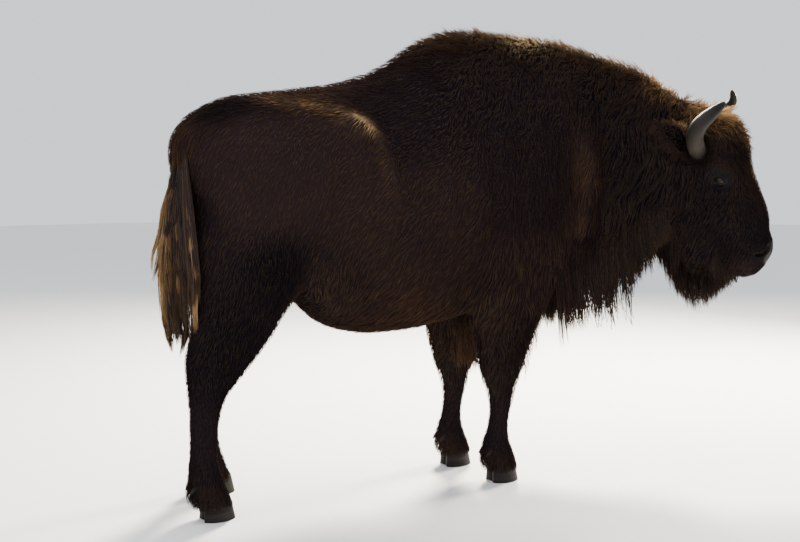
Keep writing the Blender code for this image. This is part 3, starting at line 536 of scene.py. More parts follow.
EYE_PLACE = np.array([0.202, -0.002, 0.1065])
EYE_RADIUS = 0.021


def line_distance(points, line):
    """Distance of points to a line of straight pieces, and the share of the line's length at the nearest spot."""
    best, share = np.full(len(points), 9.0), np.zeros(len(points))
    pieces = len(line) - 1
    for i in range(pieces):
        run = line[i + 1] - line[i]
        t = np.clip((points - line[i]) @ run / (run @ run), 0, 1)
        away = np.linalg.norm(points - line[i] - t[:, None] * run, axis=1)
        nearer = away < best
        best = np.where(nearer, away, best)
        share = np.where(nearer, (i + t) / pieces, share)
    return best, share


def step_between(value, low, high):
    """0 below low, 1 above high, and a smooth step 3t^2 - 2t^3 from one to the other; high may be below low."""
    t = np.clip((value - low) / (high - low), 0, 1)
    return t * t * (3 - 2 * t)


def mirrored(points):
    """Head places folded onto the left side."""
    place = of_head(points)
    return np.c_[place[:, :2], np.abs(place[:, 2])]


def hill(points, centre, reach):
    """Bell curve exp(-d^2 / 2) of the distance to a centre, each axis over its own reach."""
    return np.exp(-0.5 * (((points - np.asarray(centre)) / np.asarray(reach)) ** 2).sum(1))


def ridge(away, height, reach):
    """Height times the bell curve exp(-d^2 / 2) of the distance away over the reach."""
    return height * np.exp(-0.5 * (away / reach) ** 2)


# Rises and hollows of the hide, in mm along its normal: centre and reach on the head's own axes.
HEAD_RELIEF = (
    ((0.150, 0.045, 0.115), (0.022, 0.020, 0.030), 5.0),  # brow over the eye
    ((0.205, 0.030, 0.112), (0.020, 0.016, 0.020), -4.0),  # hollow before the eye
    ((0.236, -0.004, 0.115), (0.012, 0.030, 0.020), 2.5),  # pouch under the eye
    ((0.330, 0.030, 0.085), (0.055, 0.022, 0.020), -4.0),  # hollow beside the bridge of the nose
    ((0.300, -0.060, 0.110), (0.060, 0.016, 0.030), 4.0),  # cheek ridge
    ((0.455, -0.050, 0.075), (0.030, 0.025, 0.020), -3.0),  # hollow behind the muzzle
    ((0.505, 0.050, 0.060), (0.014, 0.016, 0.018), 4.0),  # wing of the nostril
    ((0.575, -0.030, 0.040), (0.016, 0.022, 0.030), 3.0),  # upper lip
    ((0.585, -0.085, 0.020), (0.014, 0.016, 0.036), 3.5),  # lower lip
    ((0.540, 0.062, 0.0), (0.020, 0.020, 0.006), -2.0),  # groove down the nose pad
)
# The same for the body, in unbent places (along, out, up).
BODY_RELIEF = (
    ((-0.760, 0.22, 1.375), (0.035, 0.05, 0.035), 8.0),  # hip bone
    ((-0.850, 0.24, 1.20), (0.08, 0.08, 0.07), -7.0),  # dip behind the hip
    ((-0.93, 0.25, 0.86), (0.05, 0.08, 0.07), 8.0),  # stifle
    ((-1.06, 0.26, 0.70), (0.12, 0.10, 0.025), -5.0),
    ((-0.09, 0.25, 0.92), (0.07, 0.08, 0.06), 10.0),  # point of the shoulder
    ((0.205, 0.21, 1.26), (0.045, 0.10, 0.14), 10.0),  # front edge of the shoulder
    ((0.205, 0.20, 1.02), (0.045, 0.10, 0.12), 10.0),
    ((0.300, 0.20, 1.25), (0.040, 0.10, 0.16), -13.0),  # furrow between shoulder and neck
    ((0.300, 0.18, 1.00), (0.040, 0.10, 0.14), -13.0),
    ((-0.33, 0.24, 0.90), (0.05, 0.08, 0.14), -8.0),  # behind the elbow
    ((-1.34, 0.0, 1.05), (0.10, 0.022, 0.18), -12.0),  # cleft between the buttocks
)


HIP_LINE = np.array((
    (-1.17, 0.062, 1.485), (-1.064, 0.114, 1.474), (-0.926, 0.150, 1.457), (-0.834, 0.200, 1.430),
    (-0.787, 0.226, 1.398), (-0.737, 0.240, 1.350), (-0.722, 0.275, 1.260), (-0.708, 0.300, 1.150),
))
FOLD_LINE = np.array((
    (-0.99, 0.10, 0.735), (-0.91, 0.24, 0.80), (-0.80, 0.28, 0.80), (-0.69, 0.285, 0.770), (-0.60, 0.28, 0.745),
))
# Height and reach of the rim along the hip line, of the dip before it, and of the fold and its furrow below.
HIP_RIM, HIP_DIP, FLANK_FOLD = (0.010, 0.026), (0.013, 0.040), (0.011, 0.022)
HIP_DIP_OFFSET, FURROW_OFFSET = [0.088, 0, 0.012], [0, 0, 0.045]


def relief_at(points):
    """Sum of the bell-shaped rises and hollows of head and body, and the fold of hide along the lower flank."""
    place = mirrored(points)
    out = folded(unbend(points)[0])
    rise = sum(height / 1000 * hill(place, centre, reach) for centre, reach, height in HEAD_RELIEF)
    rise = rise + sum(height / 1000 * hill(out, centre, reach) for centre, reach, height in BODY_RELIEF)
    away, share = line_distance(out, HIP_LINE)
    rise = rise + ridge(away, *HIP_RIM) * step_between(share, 0.15, 0.5)
    away, share = line_distance(out - HIP_DIP_OFFSET, HIP_LINE)
    rise = rise - ridge(away, *HIP_DIP) * step_between(share, 0.25, 0.6)
    away, share = line_distance(out, FOLD_LINE)
    rise = rise + ridge(away, *FLANK_FOLD) * np.sin(np.pi * np.clip(share, 0.02, 0.98)) ** 0.5
    return rise - ridge(line_distance(out + FURROW_OFFSET, FOLD_LINE)[0], *FLANK_FOLD)


drawn = drawn + relief_at(drawn)[:, None] * normals_of(drawn, quads)
drawn = relaxed(drawn, form_edges, 2)


# Ears, as leaves of gristle inside their hair: the line from root to tip in (down, out, side) places of the
# head, half width, and half thickness along it; the hollow opens forwards and outwards.
EAR_LINE = np.array(((0.040, -0.070, 0.088), (0.010, -0.078, 0.140), (-0.040, -0.080, 0.197), (-0.092, -0.100, 0.262)))
EAR_STOPS = (0.0, 0.25, 0.60, 1.0)
EAR_HALF_WIDTHS = ((0.0, 0.25, 0.5, 0.72, 0.9, 1.0), (0.024, 0.031, 0.037, 0.031, 0.015, 0.003))
EAR_THICKNESS = 0.0046
EAR_CUP = 0.62  # depth of the hollow over the half width
EAR_OPENING = np.array([0.45, 0.62, 0.35])


def grid_faces(rows, columns, closed=True):
    """Quads of a grid of rows, each closed into a ring or open."""
    row, column = np.meshgrid(np.arange(rows - 1), np.arange(columns if closed else columns - 1), indexing="ij")
    after = (column + 1) % columns
    return np.stack([
        row * columns + column, row * columns + after, (row + 1) * columns + after, (row + 1) * columns + column
    ], -1).reshape(-1, 4)


def round_angles(count):
    return np.linspace(0, 2 * math.pi, count, endpoint=False)


def as_triangles(quads):
    return np.concatenate([quads[:, [0, 1, 2]], quads[:, [0, 2, 3]]])


def closed_rings(rings):
    """Points and triangles of a surface through rings of points, with a fan to the middle of each end ring."""
    count, size = rings.shape[:2]
    points = np.concatenate([rings.reshape(-1, 3), rings[:1].mean(1), rings[-1:].mean(1)])
    step = np.arange(size)
    first = np.stack([np.full(size, count * size), (step + 1) % size, step], 1)
    last_row = (count - 1) * size
    last = np.stack([np.full(size, count * size + 1), last_row + step, last_row + (step + 1) % size], 1)
    return points, np.concatenate([as_triangles(grid_faces(count, size)), first, last])


def eased(rows):
    """Shares from near 0 to near 1 that lie closer together at the ends: half of one less the cosine."""
    return (1 - np.cos(np.pi * np.linspace(0.02, 0.985, rows))) / 2


def around(angle, first, second):
    """Directions at angles between two axes: cosine times the first and sine times the second."""
    return np.cos(angle)[..., None] * first + np.sin(angle)[..., None] * second


def outwards(points, faces):
    """The faces, turned over where the shell's signed volume comes out negative."""
    a, b, c = points[faces[:, 0]], points[faces[:, 1]], points[faces[:, 2]]
    volume = np.einsum("ij,ij->i", a, np.cross(b, c)).sum()
    return faces if volume > 0 else faces[:, ::-1]


def ear_frame(side):
    """Direction from root to tip, across the leaf and out of its hollow, on the head's axes."""
    mirror = np.array([1, 1, side])
    along = (EAR_LINE[-1] - EAR_LINE[0]) * mirror
    along /= np.linalg.norm(along)
    opening = EAR_OPENING * mirror
    opening = opening - opening @ along * along
    opening /= np.linalg.norm(opening)
    return along, np.cross(along, opening), opening


def ear_leaf(side, rows=26, columns=40):
    """Thin oval sections along the ear's line; each is bent so that its edges stand out of the middle:
    the rise is EAR_CUP times the half width times the square of the place across."""
    _, wide, opening = ear_frame(side)
    t = eased(rows)
    middle = np.stack([np.interp(t, EAR_STOPS, EAR_LINE[:, i]) for i in range(3)], 1) * np.array([1, 1, side])
    half = np.interp(t, *EAR_HALF_WIDTHS)[:, None]
    angle = round_angles(columns)[None]
    across = half * np.cos(angle)
    rise = EAR_THICKNESS * np.sin(angle) + EAR_CUP * half * np.cos(angle) ** 2
    places = middle[:, None] + across[..., None] * wide + rise[..., None] * opening
    return on_head(places)


HEAD_SHARE, HEAD_GRIP = 0.6, 0.02  # weight of the head's points, and its hold, when the skin is thinned

shells, walls = [drawn], [as_triangles(quads)]
start = len(drawn)
for side in (-1, 1):
    points, faces = closed_rings(ear_leaf(side))
    shells.append(points)
    walls.append(outwards(points, faces) + start)
    start += len(points)
skin_points, skin_quads = voxel_remeshed("whole", np.concatenate(shells), np.concatenate(walls), SKIN_VOXEL)
skin_points = relaxed(skin_points, edges_of(skin_quads), 2)

rough = new_object("rough_skin", skin_points, skin_quads)
place = of_head(skin_points)
head_part = (place[:, 0] > -0.14) & (place[:, 0] < 0.7) & (np.abs(place[:, 2]) < 0.3) & (place[:, 1] > -0.26)
kept = rough.vertex_groups.new(name="kept")
kept.add(np.nonzero(head_part)[0].tolist(), HEAD_SHARE, "REPLACE")
thin = rough.modifiers.new("thin", "DECIMATE")
thin.ratio = SKIN_FACES / (2 * len(skin_quads))
thin.vertex_group, thin.invert_vertex_group, thin.vertex_group_factor = "kept", True, HEAD_GRIP
graph = bpy.context.evaluated_depsgraph_get()
hide_mesh = bpy.data.meshes.new_from_object(rough.evaluated_get(graph))
bpy.data.objects.remove(rough)

# Face details, as (down, out, side) places of the head: lines of the nostril's comma and of the closed
# mouth, and how near to them the mesh is made finer.
NOSTRIL_LINE = np.array(((0.516, 0.050, 0.050), (0.534, 0.045, 0.062), (0.541, 0.024, 0.070), (0.531, 0.000, 0.074)))
MOUTH_LINE = np.array((
    (0.604, -0.052, 0.0), (0.598, -0.052, 0.022), (0.585, -0.062, 0.044), (0.566, -0.085, 0.058),
    (0.538, -0.110, 0.068),
))
FINE_ZONES = ((0.46, 0.026, 0.030), (0.46, 0.014, 0.012))  # lowest place down the face, reach of lines, of eyes


def halved(points, faces, near):
    """Triangles with three corners near are cut in four at the middles of their edges; those beside them are
    cut in two or three, so that no gap opens. Triangles are first turned so that their cut edges lead."""
    pairs = np.sort(faces[:, [[0, 1], [1, 2], [2, 0]]].reshape(-1, 2), axis=1)
    edges, number = np.unique(pairs, axis=0, return_inverse=True)
    number = number.reshape(-1, 3)
    cut = np.zeros(len(edges), bool)
    cut[number[near[faces].all(1)]] = True
    middle = len(points) + np.cumsum(cut) - 1
    points = np.concatenate([points, points[edges[cut]].mean(1)])
    has = cut[number]
    count = has.sum(1)
    turn = np.where(count == 2, (has.argmin(1) + 1) % 3, has.argmax(1))
    order = (np.arange(3) + turn[:, None]) % 3
    a, b, c = np.take_along_axis(faces, order, 1).T
    ab, bc, ca = np.take_along_axis(middle[number], order, 1).T
    patterns = {
        0: ((a, b, c),), 1: ((a, ab, c), (ab, b, c)), 2: ((a, ab, bc), (ab, b, bc), (a, bc, c)),
        3: ((a, ab, ca), (ab, b, bc), (ca, bc, c), (ab, bc, ca)),
    }
    pieces = [np.stack(piece, 1)[count == many] for many, pattern in patterns.items() for piece in pattern]
    return points, np.concatenate(pieces)


def refined(points, faces):
    """The mesh with its edges halved twice round the eyes, the nostrils and the mouth."""
    for lowest, line_reach, eye_reach in FINE_ZONES:
        place = mirrored(points)
        near = np.minimum(line_distance(place, MOUTH_LINE)[0], line_distance(place, NOSTRIL_LINE)[0]) < line_reach
        near &= place[:, 0] > lowest
        near |= np.linalg.norm(place - EYE_PLACE, axis=1) < EYE_RADIUS + eye_reach
        points, faces = halved(points, faces, near)
    return points, faces


skin, skin_faces = refined(*mesh_arrays(hide_mesh))
skin_edges = edges_of(skin_faces)
near_face = mirrored(skin)
fine = (near_face[:, 0] > 0.12) & (near_face[:, 0] < 0.66) & (near_face[:, 1] > -0.2)
skin = relaxed(skin, skin_edges, 3, np.where(fine, 0.5, 0.0))


EYE_ALONG = np.array([0.65, 0.76, 0.0])  # from the rear corner to the front one, on the head's axes
EYE_UP = np.array([-0.76, 0.65, 0.0])
NOSTRIL_DEPTH, MOUTH_DEPTH, SOCKET_DEPTH = 0.017, 0.0065, 0.016
EYE_FOLDS = ((0.0275, -0.0012), (0.0330, 0.0024), (0.0385, -0.0024), (0.0440, 0.0018), (0.0500, -0.0018))


def sculpted(points, faces):
    """The hide with its nostrils, its closed mouth and its eye sockets pressed in."""
    place = mirrored(points)
    rise = np.zeros(len(points))
    away, share = line_distance(place, NOSTRIL_LINE)
    width = 0.0052 + 0.003 * np.sin(np.pi * np.clip(share, 0, 1))
    rise = rise - NOSTRIL_DEPTH * (1 - step_between(away, 0.3 * width, 1.5 * width))
    rise = rise + 0.0022 * np.exp(-(((away - 0.0135) / 0.004) ** 2))
    away, share = line_distance(place, MOUTH_LINE)
    rise = rise - MOUTH_DEPTH * (1 - step_between(away, 0.0008, 0.0055))
    rise = rise + 0.0015 * np.exp(-(((away - 0.009) / 0.004) ** 2))
    offset = place - EYE_PLACE
    forward, high = offset @ EYE_ALONG, offset @ EYE_UP
    away = np.hypot(forward, 1.15 * high)
    near_eye = (np.abs(offset[:, 2]) < 0.045) * (away < 0.06)
    for radius, height in EYE_FOLDS:
        above = 0.5 + 0.5 * step_between(high, -0.012, 0.012)
        rise = rise + near_eye * above * height * np.exp(-(((away - radius) / 0.0028) ** 2))
    points = points + rise[:, None] * normals_of(points, faces)
    # socket: what lies within the eyeball's reach is pushed behind its widest ring
    place = mirrored(points)
    offset = place - EYE_PLACE
    across = np.hypot(offset[:, 0], offset[:, 1])
    sunk = (1 - step_between(across, 0.75 * EYE_RADIUS, 1.25 * EYE_RADIUS)) * (np.abs(offset[:, 2]) < 0.04)
    side = np.sign(of_head(points)[:, 2])
    return points - (sunk * SOCKET_DEPTH)[:, None] * (side[:, None] * HEAD_AXES[2])


skin = sculpted(skin, skin_faces)
skin = relaxed(skin, skin_edges, 1, np.where(fine, 0.3, 0.0))

# Tones of the winter coat (linear RGB): blackish on face, throat and lower legs, brown on trunk and
# haunch, golden on nape, crown and back, straw where old hair bleaches on the hump. The gold and straw along
# the top line are partly bleached hair and partly painted rim light; along the hip line and the tail's rear
# edge they are painted sunlight, painted highlights and painted rim light.
TONES = {
    "black": (0.0031, 0.0030, 0.0050, 1.0),
    "brown": (0.0146, 0.0097, 0.0118, 1.0),
    "gold": (0.300, 0.150, 0.048, 1.0),
    "straw": (0.62, 0.43, 0.22, 1.0),
    "leather": (0.0045, 0.0040, 0.0043, 1.0),
    "orbit": (0.0105, 0.0094, 0.0104, 1.0),
}


def wave_noise(points, size, seed, waves=9):
    """Soft noise in -1..1: the mean of sine waves of about one length in random directions."""
    rng = np.random.default_rng(seed)
    total = np.zeros(len(points))
    for _ in range(waves):
        direction = rng.normal(size=3)
        direction *= 2 * math.pi / (size * rng.uniform(0.7, 1.5) * np.linalg.norm(direction))
        total += np.sin(points @ direction + rng.uniform(0, 2 * math.pi))
    return total / waves * 1.8


def bare_at(points):
    """Share of bare leather: nose pad, nostrils, lips' edges and the rims of the eyes."""
    place = mirrored(points)
    pad = step_between(place[:, 0], 0.500, 0.520) * step_between(place[:, 1], 0.000, 0.020) * (place[:, 0] < 0.66)
    pad = pad * (1 - step_between(place[:, 2], 0.052, 0.064))
    nostril = 1 - step_between(line_distance(place, NOSTRIL_LINE)[0], 0.010, 0.016)
    lips = 1 - step_between(line_distance(place, MOUTH_LINE)[0], 0.004, 0.009)
    eye = 1 - step_between(np.linalg.norm(place - EYE_PLACE, axis=1), EYE_RADIUS + 0.004, EYE_RADIUS + 0.010)
    return np.clip(np.maximum.reduce([pad, nostril, lips, eye]), 0, 1)


def orbit_at(points):
    """Share of the thinly haired, greyish patch round the eye: an oval wider along the lids than across."""
    offset = mirrored(points) - EYE_PLACE
    away = np.hypot(offset @ EYE_ALONG / 0.054, (offset @ EYE_UP - 0.008) / 0.040)
    return (1 - step_between(away, 0.70, 1.15)) * (np.abs(offset[:, 2]) < 0.06)


def markings_at(points):
    """The markings that hide and coat share: shares of brown, gold, straw and bare leather; gold and straw also carry
    painted sunlight and a painted highlight along the hip line.
    """
    found = coat_at(points)
    patchy = 0.10 * wave_noise(points, 0.16, 3) + 0.06 * wave_noise(points, 0.05, 4)
    # Painted light along the hip line: a speckled band of painted sunlight over loin and hip, fading towards its front
    # end, and a thin painted highlight on the edge of the hip bone.
    away, share = line_distance(folded(unbend(points)[0]), HIP_LINE)
    front = step_between(share, 0.38, 0.50) * (1 - step_between(share, 0.64, 0.76))
    lit_hip_band = step_between(share, 0.0, 0.15) * (1 - 0.7 * step_between(share, 0.55, 0.75))
    lit_hip_band = lit_hip_band * (1 - 0.5 * step_between(share, 0.8, 1.0))
    width = 0.042 - 0.024 * step_between(share, 0.45, 0.70)
    lit_hip_band = lit_hip_band * np.exp(-((away / width) ** 2)) * (0.25 + 2.6 * step_between(wave_noise(points, 0.016, 5), -0.1, 0.5))
    brown = np.clip(found["brown"] + patchy, 0, 1.2)
    # thin painted highlight on the hip bone's edge
    rim = front * np.exp(-((away / 0.010) ** 2)) * (0.5 + 1.8 * np.abs(wave_noise(points, 0.010, 6)))
    gold = np.clip(found["gold"] * (1 + 2.0 * patchy) + 0.22 * lit_hip_band + 0.3 * rim, 0, 1)
    straw = np.clip(found["straw"] * (1 + 3.0 * patchy) + 0.05 * lit_hip_band + 0.68 * rim, 0, 1)
    return {"brown": brown, "gold": gold, "straw": straw, "bare": bare_at(points), "orbit": orbit_at(points)}


def add_attribute(obj, name, values):
    layer = obj.data.attributes.new(name, "FLOAT", "POINT")
    layer.data.foreach_set("value", np.ascontiguousarray(values, np.float32))


hide = Finish("hide", Roughness=0.80, Specular_IOR_Level=0.0, Coat_Roughness=0.52, Coat_IOR=1.4)
streak = hide.noise(420.0, 4.0, (0.35, 1.0, 0.14), (0, math.radians(35), 0))
down = hide.noise(60.0, 3.0)
base = hide.mix(hide.attribute("brown"), TONES["black"], TONES["brown"])
# gold and straw: partly real tones, partly painted rim light, painted sunlight and painted highlights along top line
# and hips
base = hide.mix(hide.attribute("gold") * 0.30, base, TONES["gold"])
base = hide.mix(hide.attribute("straw") * 0.40, base, TONES["straw"])
base = hide.mix(streak.between(0.3, 0.75) * 0.25, base, hide.mix(0.45, base, (0.0, 0.0, 0.0, 1.0)))
base = hide.mix(hide.attribute("bare"), base, TONES["leather"])
base = hide.mix(hide.attribute("orbit") * 0.85, base, TONES["orbit"])
hide.colour(base)
place = hide.node("TexCoord", out=3)
pebbles = hide.node("TexVoronoi", {"feature": "DISTANCE_TO_EDGE"}, {"Vector": place, "Scale": 420.0})
hide.feed(hide.shader.inputs["Roughness"], 0.80 - hide.attribute("bare") * 0.24)
hide.feed(hide.shader.inputs["Coat Weight"], hide.attribute("bare") * 0.22)
furry = 1 - hide.attribute("bare")
hide.bump((streak * 0.6 + down * 0.4) * furry + pebbles.between(0.0, 0.25) * (1 - furry) * 0.35, 0.003, 0.9)

skin_object = new_object("hide", skin, skin_faces, hide.material)
for name, values in markings_at(skin).items():
    add_attribute(skin_object, name, values)
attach(skin_object, "root")
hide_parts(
    "trunk", "neck", "head", "foreleg_right", "foreleg_left", "hindleg_right", "hindleg_left",
    "tail", "ear_right", "ear_left",
)
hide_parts("throat_mane", "chin_beard", "tail_tassel")


# ---------------------------------------------------------------- coat: tufts over the whole hide
# The winter coat: short flat hair behind, wool on shoulders, hump and neck. Each tuft is a thin closed
# lock of three sides that grows from the hide, follows the lie of the coat and ends at the coat's surface.

COAT_SEED = 41
COAT_COVER = (0.92, 1.5)  # layers of tufts where the hair is flat, and what curl adds
LEG_TOP, LEG_SPREAD = 0.66, 0.155  # height where a leg ends, and its axis beside the middle
LEG_DIVIDE, FORELEG_MIDDLE, HINDLEG_MIDDLE = -0.6, -0.17, -1.33  # places along
TRUNK_AXIS = 1.05
PATCH = 0.003  # width of a tuft's patch on the bake map
ROOT_DEPTH = 0.0025  # how far a root sits under the hide's surface
COAT_LENGTHS, COAT_RISES, COAT_WIDTHS = (0.7, 1.15), (0.55, 1.0), (0.75, 1.25)  # least and most, over the chart's
COAT_CELL, COAT_WAVE = 0.016, 0.0045  # width of a lock, and sideways wave of a hair of curl 1
LOWEST_TUFT, ORBIT_THINNING = 0.055, 0.8
SUBSTEPS = 2  # steps of a line from one station to the next
BEND_NOISE = ((0.055, 0.5), (0.16, 0.3))  # wave length in metres and turn of the lie in radians

GROUND = drawn
GROUND_NORMALS = normals_of(drawn, quads)


def neighbour_table(edges, count, most=8):
    """For each point its own number and those of up to `most` neighbours, filled up with its own."""
    ends = np.concatenate([edges, edges[:, ::-1]])
    ends = ends[np.argsort(ends[:, 0], kind="stable")]
    first = np.searchsorted(ends[:, 0], np.arange(count))
    place = np.arange(len(ends)) - first[ends[:, 0]]
    table = np.repeat(np.arange(count)[:, None], most + 1, axis=1)
    kept = place < most
    table[ends[kept, 0], place[kept] + 1] = ends[kept, 1]
    return table


NEIGHBOURS = neighbour_table(form_edges, len(drawn))
GROUND_COAT = coat_at(GROUND)


def turned_lie(points, normals, lie):
    """The lie laid into the hide's surface and turned about its normal by soft noise, so that locks wander."""
    lie = unit(lie - (lie * normals).sum(1, keepdims=True) * normals, 1e-6)
    turn = sum(amount * wave_noise(points, size, 11 + i) for i, (size, amount) in enumerate(BEND_NOISE))
    turn = (turn * (0.35 + GROUND_COAT["curl"]))[:, None]
    return np.cos(turn) * lie + np.sin(turn) * np.cross(normals, lie)


GROUND_LIE = turned_lie(GROUND, GROUND_NORMALS, GROUND_COAT["lie"])


def nearest_spots(points, spots, rounds=3):
    """Number of the hide's point nearest to each point, found by stepping to nearer neighbours."""
    for _ in range(rounds):
        near = NEIGHBOURS[spots]
        away = ((GROUND[near] - points[:, None]) ** 2).sum(2)
        spots = np.take_along_axis(near, away.argmin(1)[:, None], 1)[:, 0]
    return spots


def scattered(density, seed):
    """Roots spread over the hide by density per square metre: one random point in each equal share of the
    running total over the faces. Returns the points and the nearest hide points' numbers."""
    rng = np.random.default_rng(seed)
    faces = as_triangles(quads)
    a, b, c = GROUND[faces[:, 0]], GROUND[faces[:, 1]], GROUND[faces[:, 2]]
    weight = np.linalg.norm(np.cross(b - a, c - a), axis=1) / 2 * density[faces].mean(1)
    total = np.cumsum(weight)
    count = int(total[-1])
    chosen = np.searchsorted(total, (np.arange(count) + rng.uniform(0, 1, count)) / count * total[-1])
    chosen = np.minimum(chosen, len(faces) - 1)
    u, v = np.sqrt(rng.uniform(0, 1, count)), rng.uniform(0, 1, count)
    shares = np.stack([1 - u, u * (1 - v), u * v], 1)
    points = (GROUND[faces[chosen]] * shares[:, :, None]).sum(1)
    return points, faces[chosen, shares.argmax(1)]


def hair_lines(roots, spots, length, rise, stations, droop=0.0, cling=1.0, stand=0.25):
    """Lines that run over the hide from their roots, and the hide's normals under them.

    Each short step goes along the lie, which droop turns towards straight down as the line goes on, after
    a start that stands up by `stand`. Then the point is lifted to its wanted height, rise times the share
    of the line to the power 0.8, or let down to it by the share `cling`; hanging hair has little cling.
    """
    steps = (stations - 1) * SUBSTEPS
    normals = GROUND_NORMALS[spots]
    points = roots - ROOT_DEPTH * normals
    lines, ups = [points], [normals]
    stride = (length / steps)[:, None]
    fall = np.array([0.0, 0.0, -1.0])
    for k in range(steps):
        share = (k + 1) / steps
        pull = min(droop * share, 1)
        direction = GROUND_LIE[spots] * (1 - pull) + fall * pull + normals * stand * max(0, 0.6 - share)
        points = points + unit(direction) * stride
        spots = nearest_spots(points, spots)
        normals = GROUND_NORMALS[spots]
        height = ((points - GROUND[spots]) * normals).sum(1)
        gap = rise * share**0.8 - height
        points = points + np.where(gap > 0, gap, gap * cling)[:, None] * normals
        if (k + 1) % SUBSTEPS == 0:
            lines.append(points)
            ups.append(normals)
    return np.stack(lines, 1), np.stack(ups, 1)


def lock_numbers(roots, cell, seed):
    """Number of each root's lock: the cell of a lattice, made wavy by soft noise, that the root lies in."""
    wavy = roots + 0.35 * cell * np.stack([wave_noise(roots, 3 * cell, seed + i) for i in range(3)], 1)
    return np.unique(np.floor(wavy / cell).astype(int), axis=0, return_inverse=True)[1].ravel()


def gathered(lines, lock, strength):
    """Lines of one lock drawn together: each moves to the lock's mean line by strength times its share of the
    way to the power 1.3, so that the lock ends in a point."""
    count = np.bincount(lock)
    share = np.linspace(0, 1, lines.shape[1]) ** 1.3
    closer = lines.copy()
    for k in range(1, lines.shape[1]):
        mean = np.stack([np.bincount(lock, lines[:, k, i]) for i in range(3)], 1) / count[:, None]
        closer[:, k] += np.asarray(strength * share[k]).reshape(-1, 1) * (mean[lock] - lines[:, k])
    return closer


def curled(lines, ups, amount, turns, seed):
    """Lines with a sideways wave: amount times the share of the line times the sine of its turns."""
    rng = np.random.default_rng(seed)
    share = np.linspace(0, 1, lines.shape[1])[None]
    run = np.gradient(lines, axis=1)
    side = unit(np.cross(ups, run), 1e-9)
    phase = rng.uniform(0, 2 * math.pi, (len(lines), 1))
    turns = np.asarray(turns).reshape(-1, 1) * rng.uniform(0.7, 1.3, (len(lines), 1))
    wave = np.asarray(amount).reshape(-1, 1) * share * (np.sin(2 * math.pi * turns * share + phase) - np.sin(phase))
    return lines + wave[..., None] * side


def unwrapped(points):
    """Flat map of the hide, fitted to the unit square: round the body by angle about its axis, and along it
    by its length; legs and head are rolled out beside it the same way, about their own axes."""
    straight, _ = unbend(points)
    along, across, up = straight.T
    place = of_head(points)
    leg = up < LEG_TOP
    axis = np.where(leg, np.where(across > 0, LEG_SPREAD, -LEG_SPREAD), 0.0)
    middle = np.where(along > LEG_DIVIDE, FORELEG_MIDDLE, HINDLEG_MIDDLE)
    angle = np.where(leg, np.arctan2(across - axis, along - middle), np.arctan2(across, up - TRUNK_AXIS))
    flat = np.stack([np.where(leg, up, along), angle], 1)
    flat[:, 0] += np.where(leg & (across > 0), 0.8, 0.0) + np.where(leg & (along < LEG_DIVIDE), 1.7, 0.0)
    on_face = along > 0.6
    flat[on_face, 0] = place[on_face, 0]
    flat[on_face, 1] = np.arctan2(place[on_face, 2], place[on_face, 1] + 0.05)
    low, high = flat.min(0), flat.max(0)
    return 0.004 + (flat - low) / np.maximum(high - low, 1e-6) * (0.992 - PATCH)


def tuft_pattern(stations):
    """Triangles of one closed three-sided tuft with a pointed tip, and their corners' places on its patch."""
    faces, patch = [(0, 2, 1)], [((0, 0), (0.66, 0), (0.33, 0))]
    last = stations - 2
    for k in range(last):
        for j in range(3):
            a, b = 3 * k + j, 3 * k + (j + 1) % 3
            x0, x1, y0, y1 = j / 3, (j + 1) / 3, k / (last + 1), (k + 1) / (last + 1)
            faces += [(a, b, b + 3), (a, b + 3, a + 3)]
            patch += [((x0, y0), (x1, y0), (x1, y1)), ((x0, y0), (x1, y1), (x0, y1))]
    for j in range(3):
        faces.append((3 * last + j, 3 * last + (j + 1) % 3, 3 * last + 3))
        patch.append(((j / 3, last / (last + 1)), ((j + 1) / 3, last / (last + 1)), (0.5, 1)))
    return np.array(faces), np.array(patch)


TUFT_WIDTHS = ((0.0, 0.2, 0.55, 0.85, 1.0), (0.62, 1.0, 0.82, 0.42, 0.0))
TUFT_FLATNESS = 0.55


def tuft_piece(name, lines, ups, width, finish, strand, marks=None, flatness=TUFT_FLATNESS):
    """Mesh of closed tufts round lines: at each station three corners round the line, one on top and two at
    the sides, by the width there, and one point at the tip. Carries the markings of the roots, the share
    along each tuft, a random tone for each, and the bake map."""
    count, stations = lines.shape[:2]
    run = unit(np.gradient(lines, axis=1), 1e-9)
    side = unit(np.cross(ups, run), 1e-9)
    top = np.cross(run, side)
    share = np.linspace(0, 1, stations)
    half = 0.5 * width[:, None] * np.interp(share, *TUFT_WIDTHS)[None]
    half = half[:, :-1, None]
    body, side, top = lines[:, :-1], side[:, :-1], top[:, :-1]
    corners = np.stack([
        body + flatness * half * 1.15 * top,
        body - flatness * half * 0.55 * top - half * side,
        body - flatness * half * 0.55 * top + half * side,
    ], 2).reshape(count, -1, 3)
    points = np.concatenate([corners, lines[:, -1:]], 1)
    pattern, patch = tuft_pattern(stations)
    each = points.shape[1]
    faces = (pattern[None] + (np.arange(count) * each)[:, None, None]).reshape(-1, 3)
    made = new_object(name, points.reshape(-1, 3), faces, finish.material)
    roots = lines[:, 0]
    for mark, values in (marks or markings_at(roots)).items():
        add_attribute(made, mark, np.repeat(np.broadcast_to(values, count), each))
    add_attribute(made, "strand", np.repeat(strand, each))
    add_attribute(made, "tip", np.tile(np.append(np.repeat(share[:-1], 3), 1.0), count))
    place = unwrapped(roots)[:, None, None] + PATCH * patch[None]
    bake = made.data.uv_layers.new(name="OFBake")
    bake.data.foreach_set("uv", np.ascontiguousarray(place, np.float32).ravel())
    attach(made, "root")
    return made


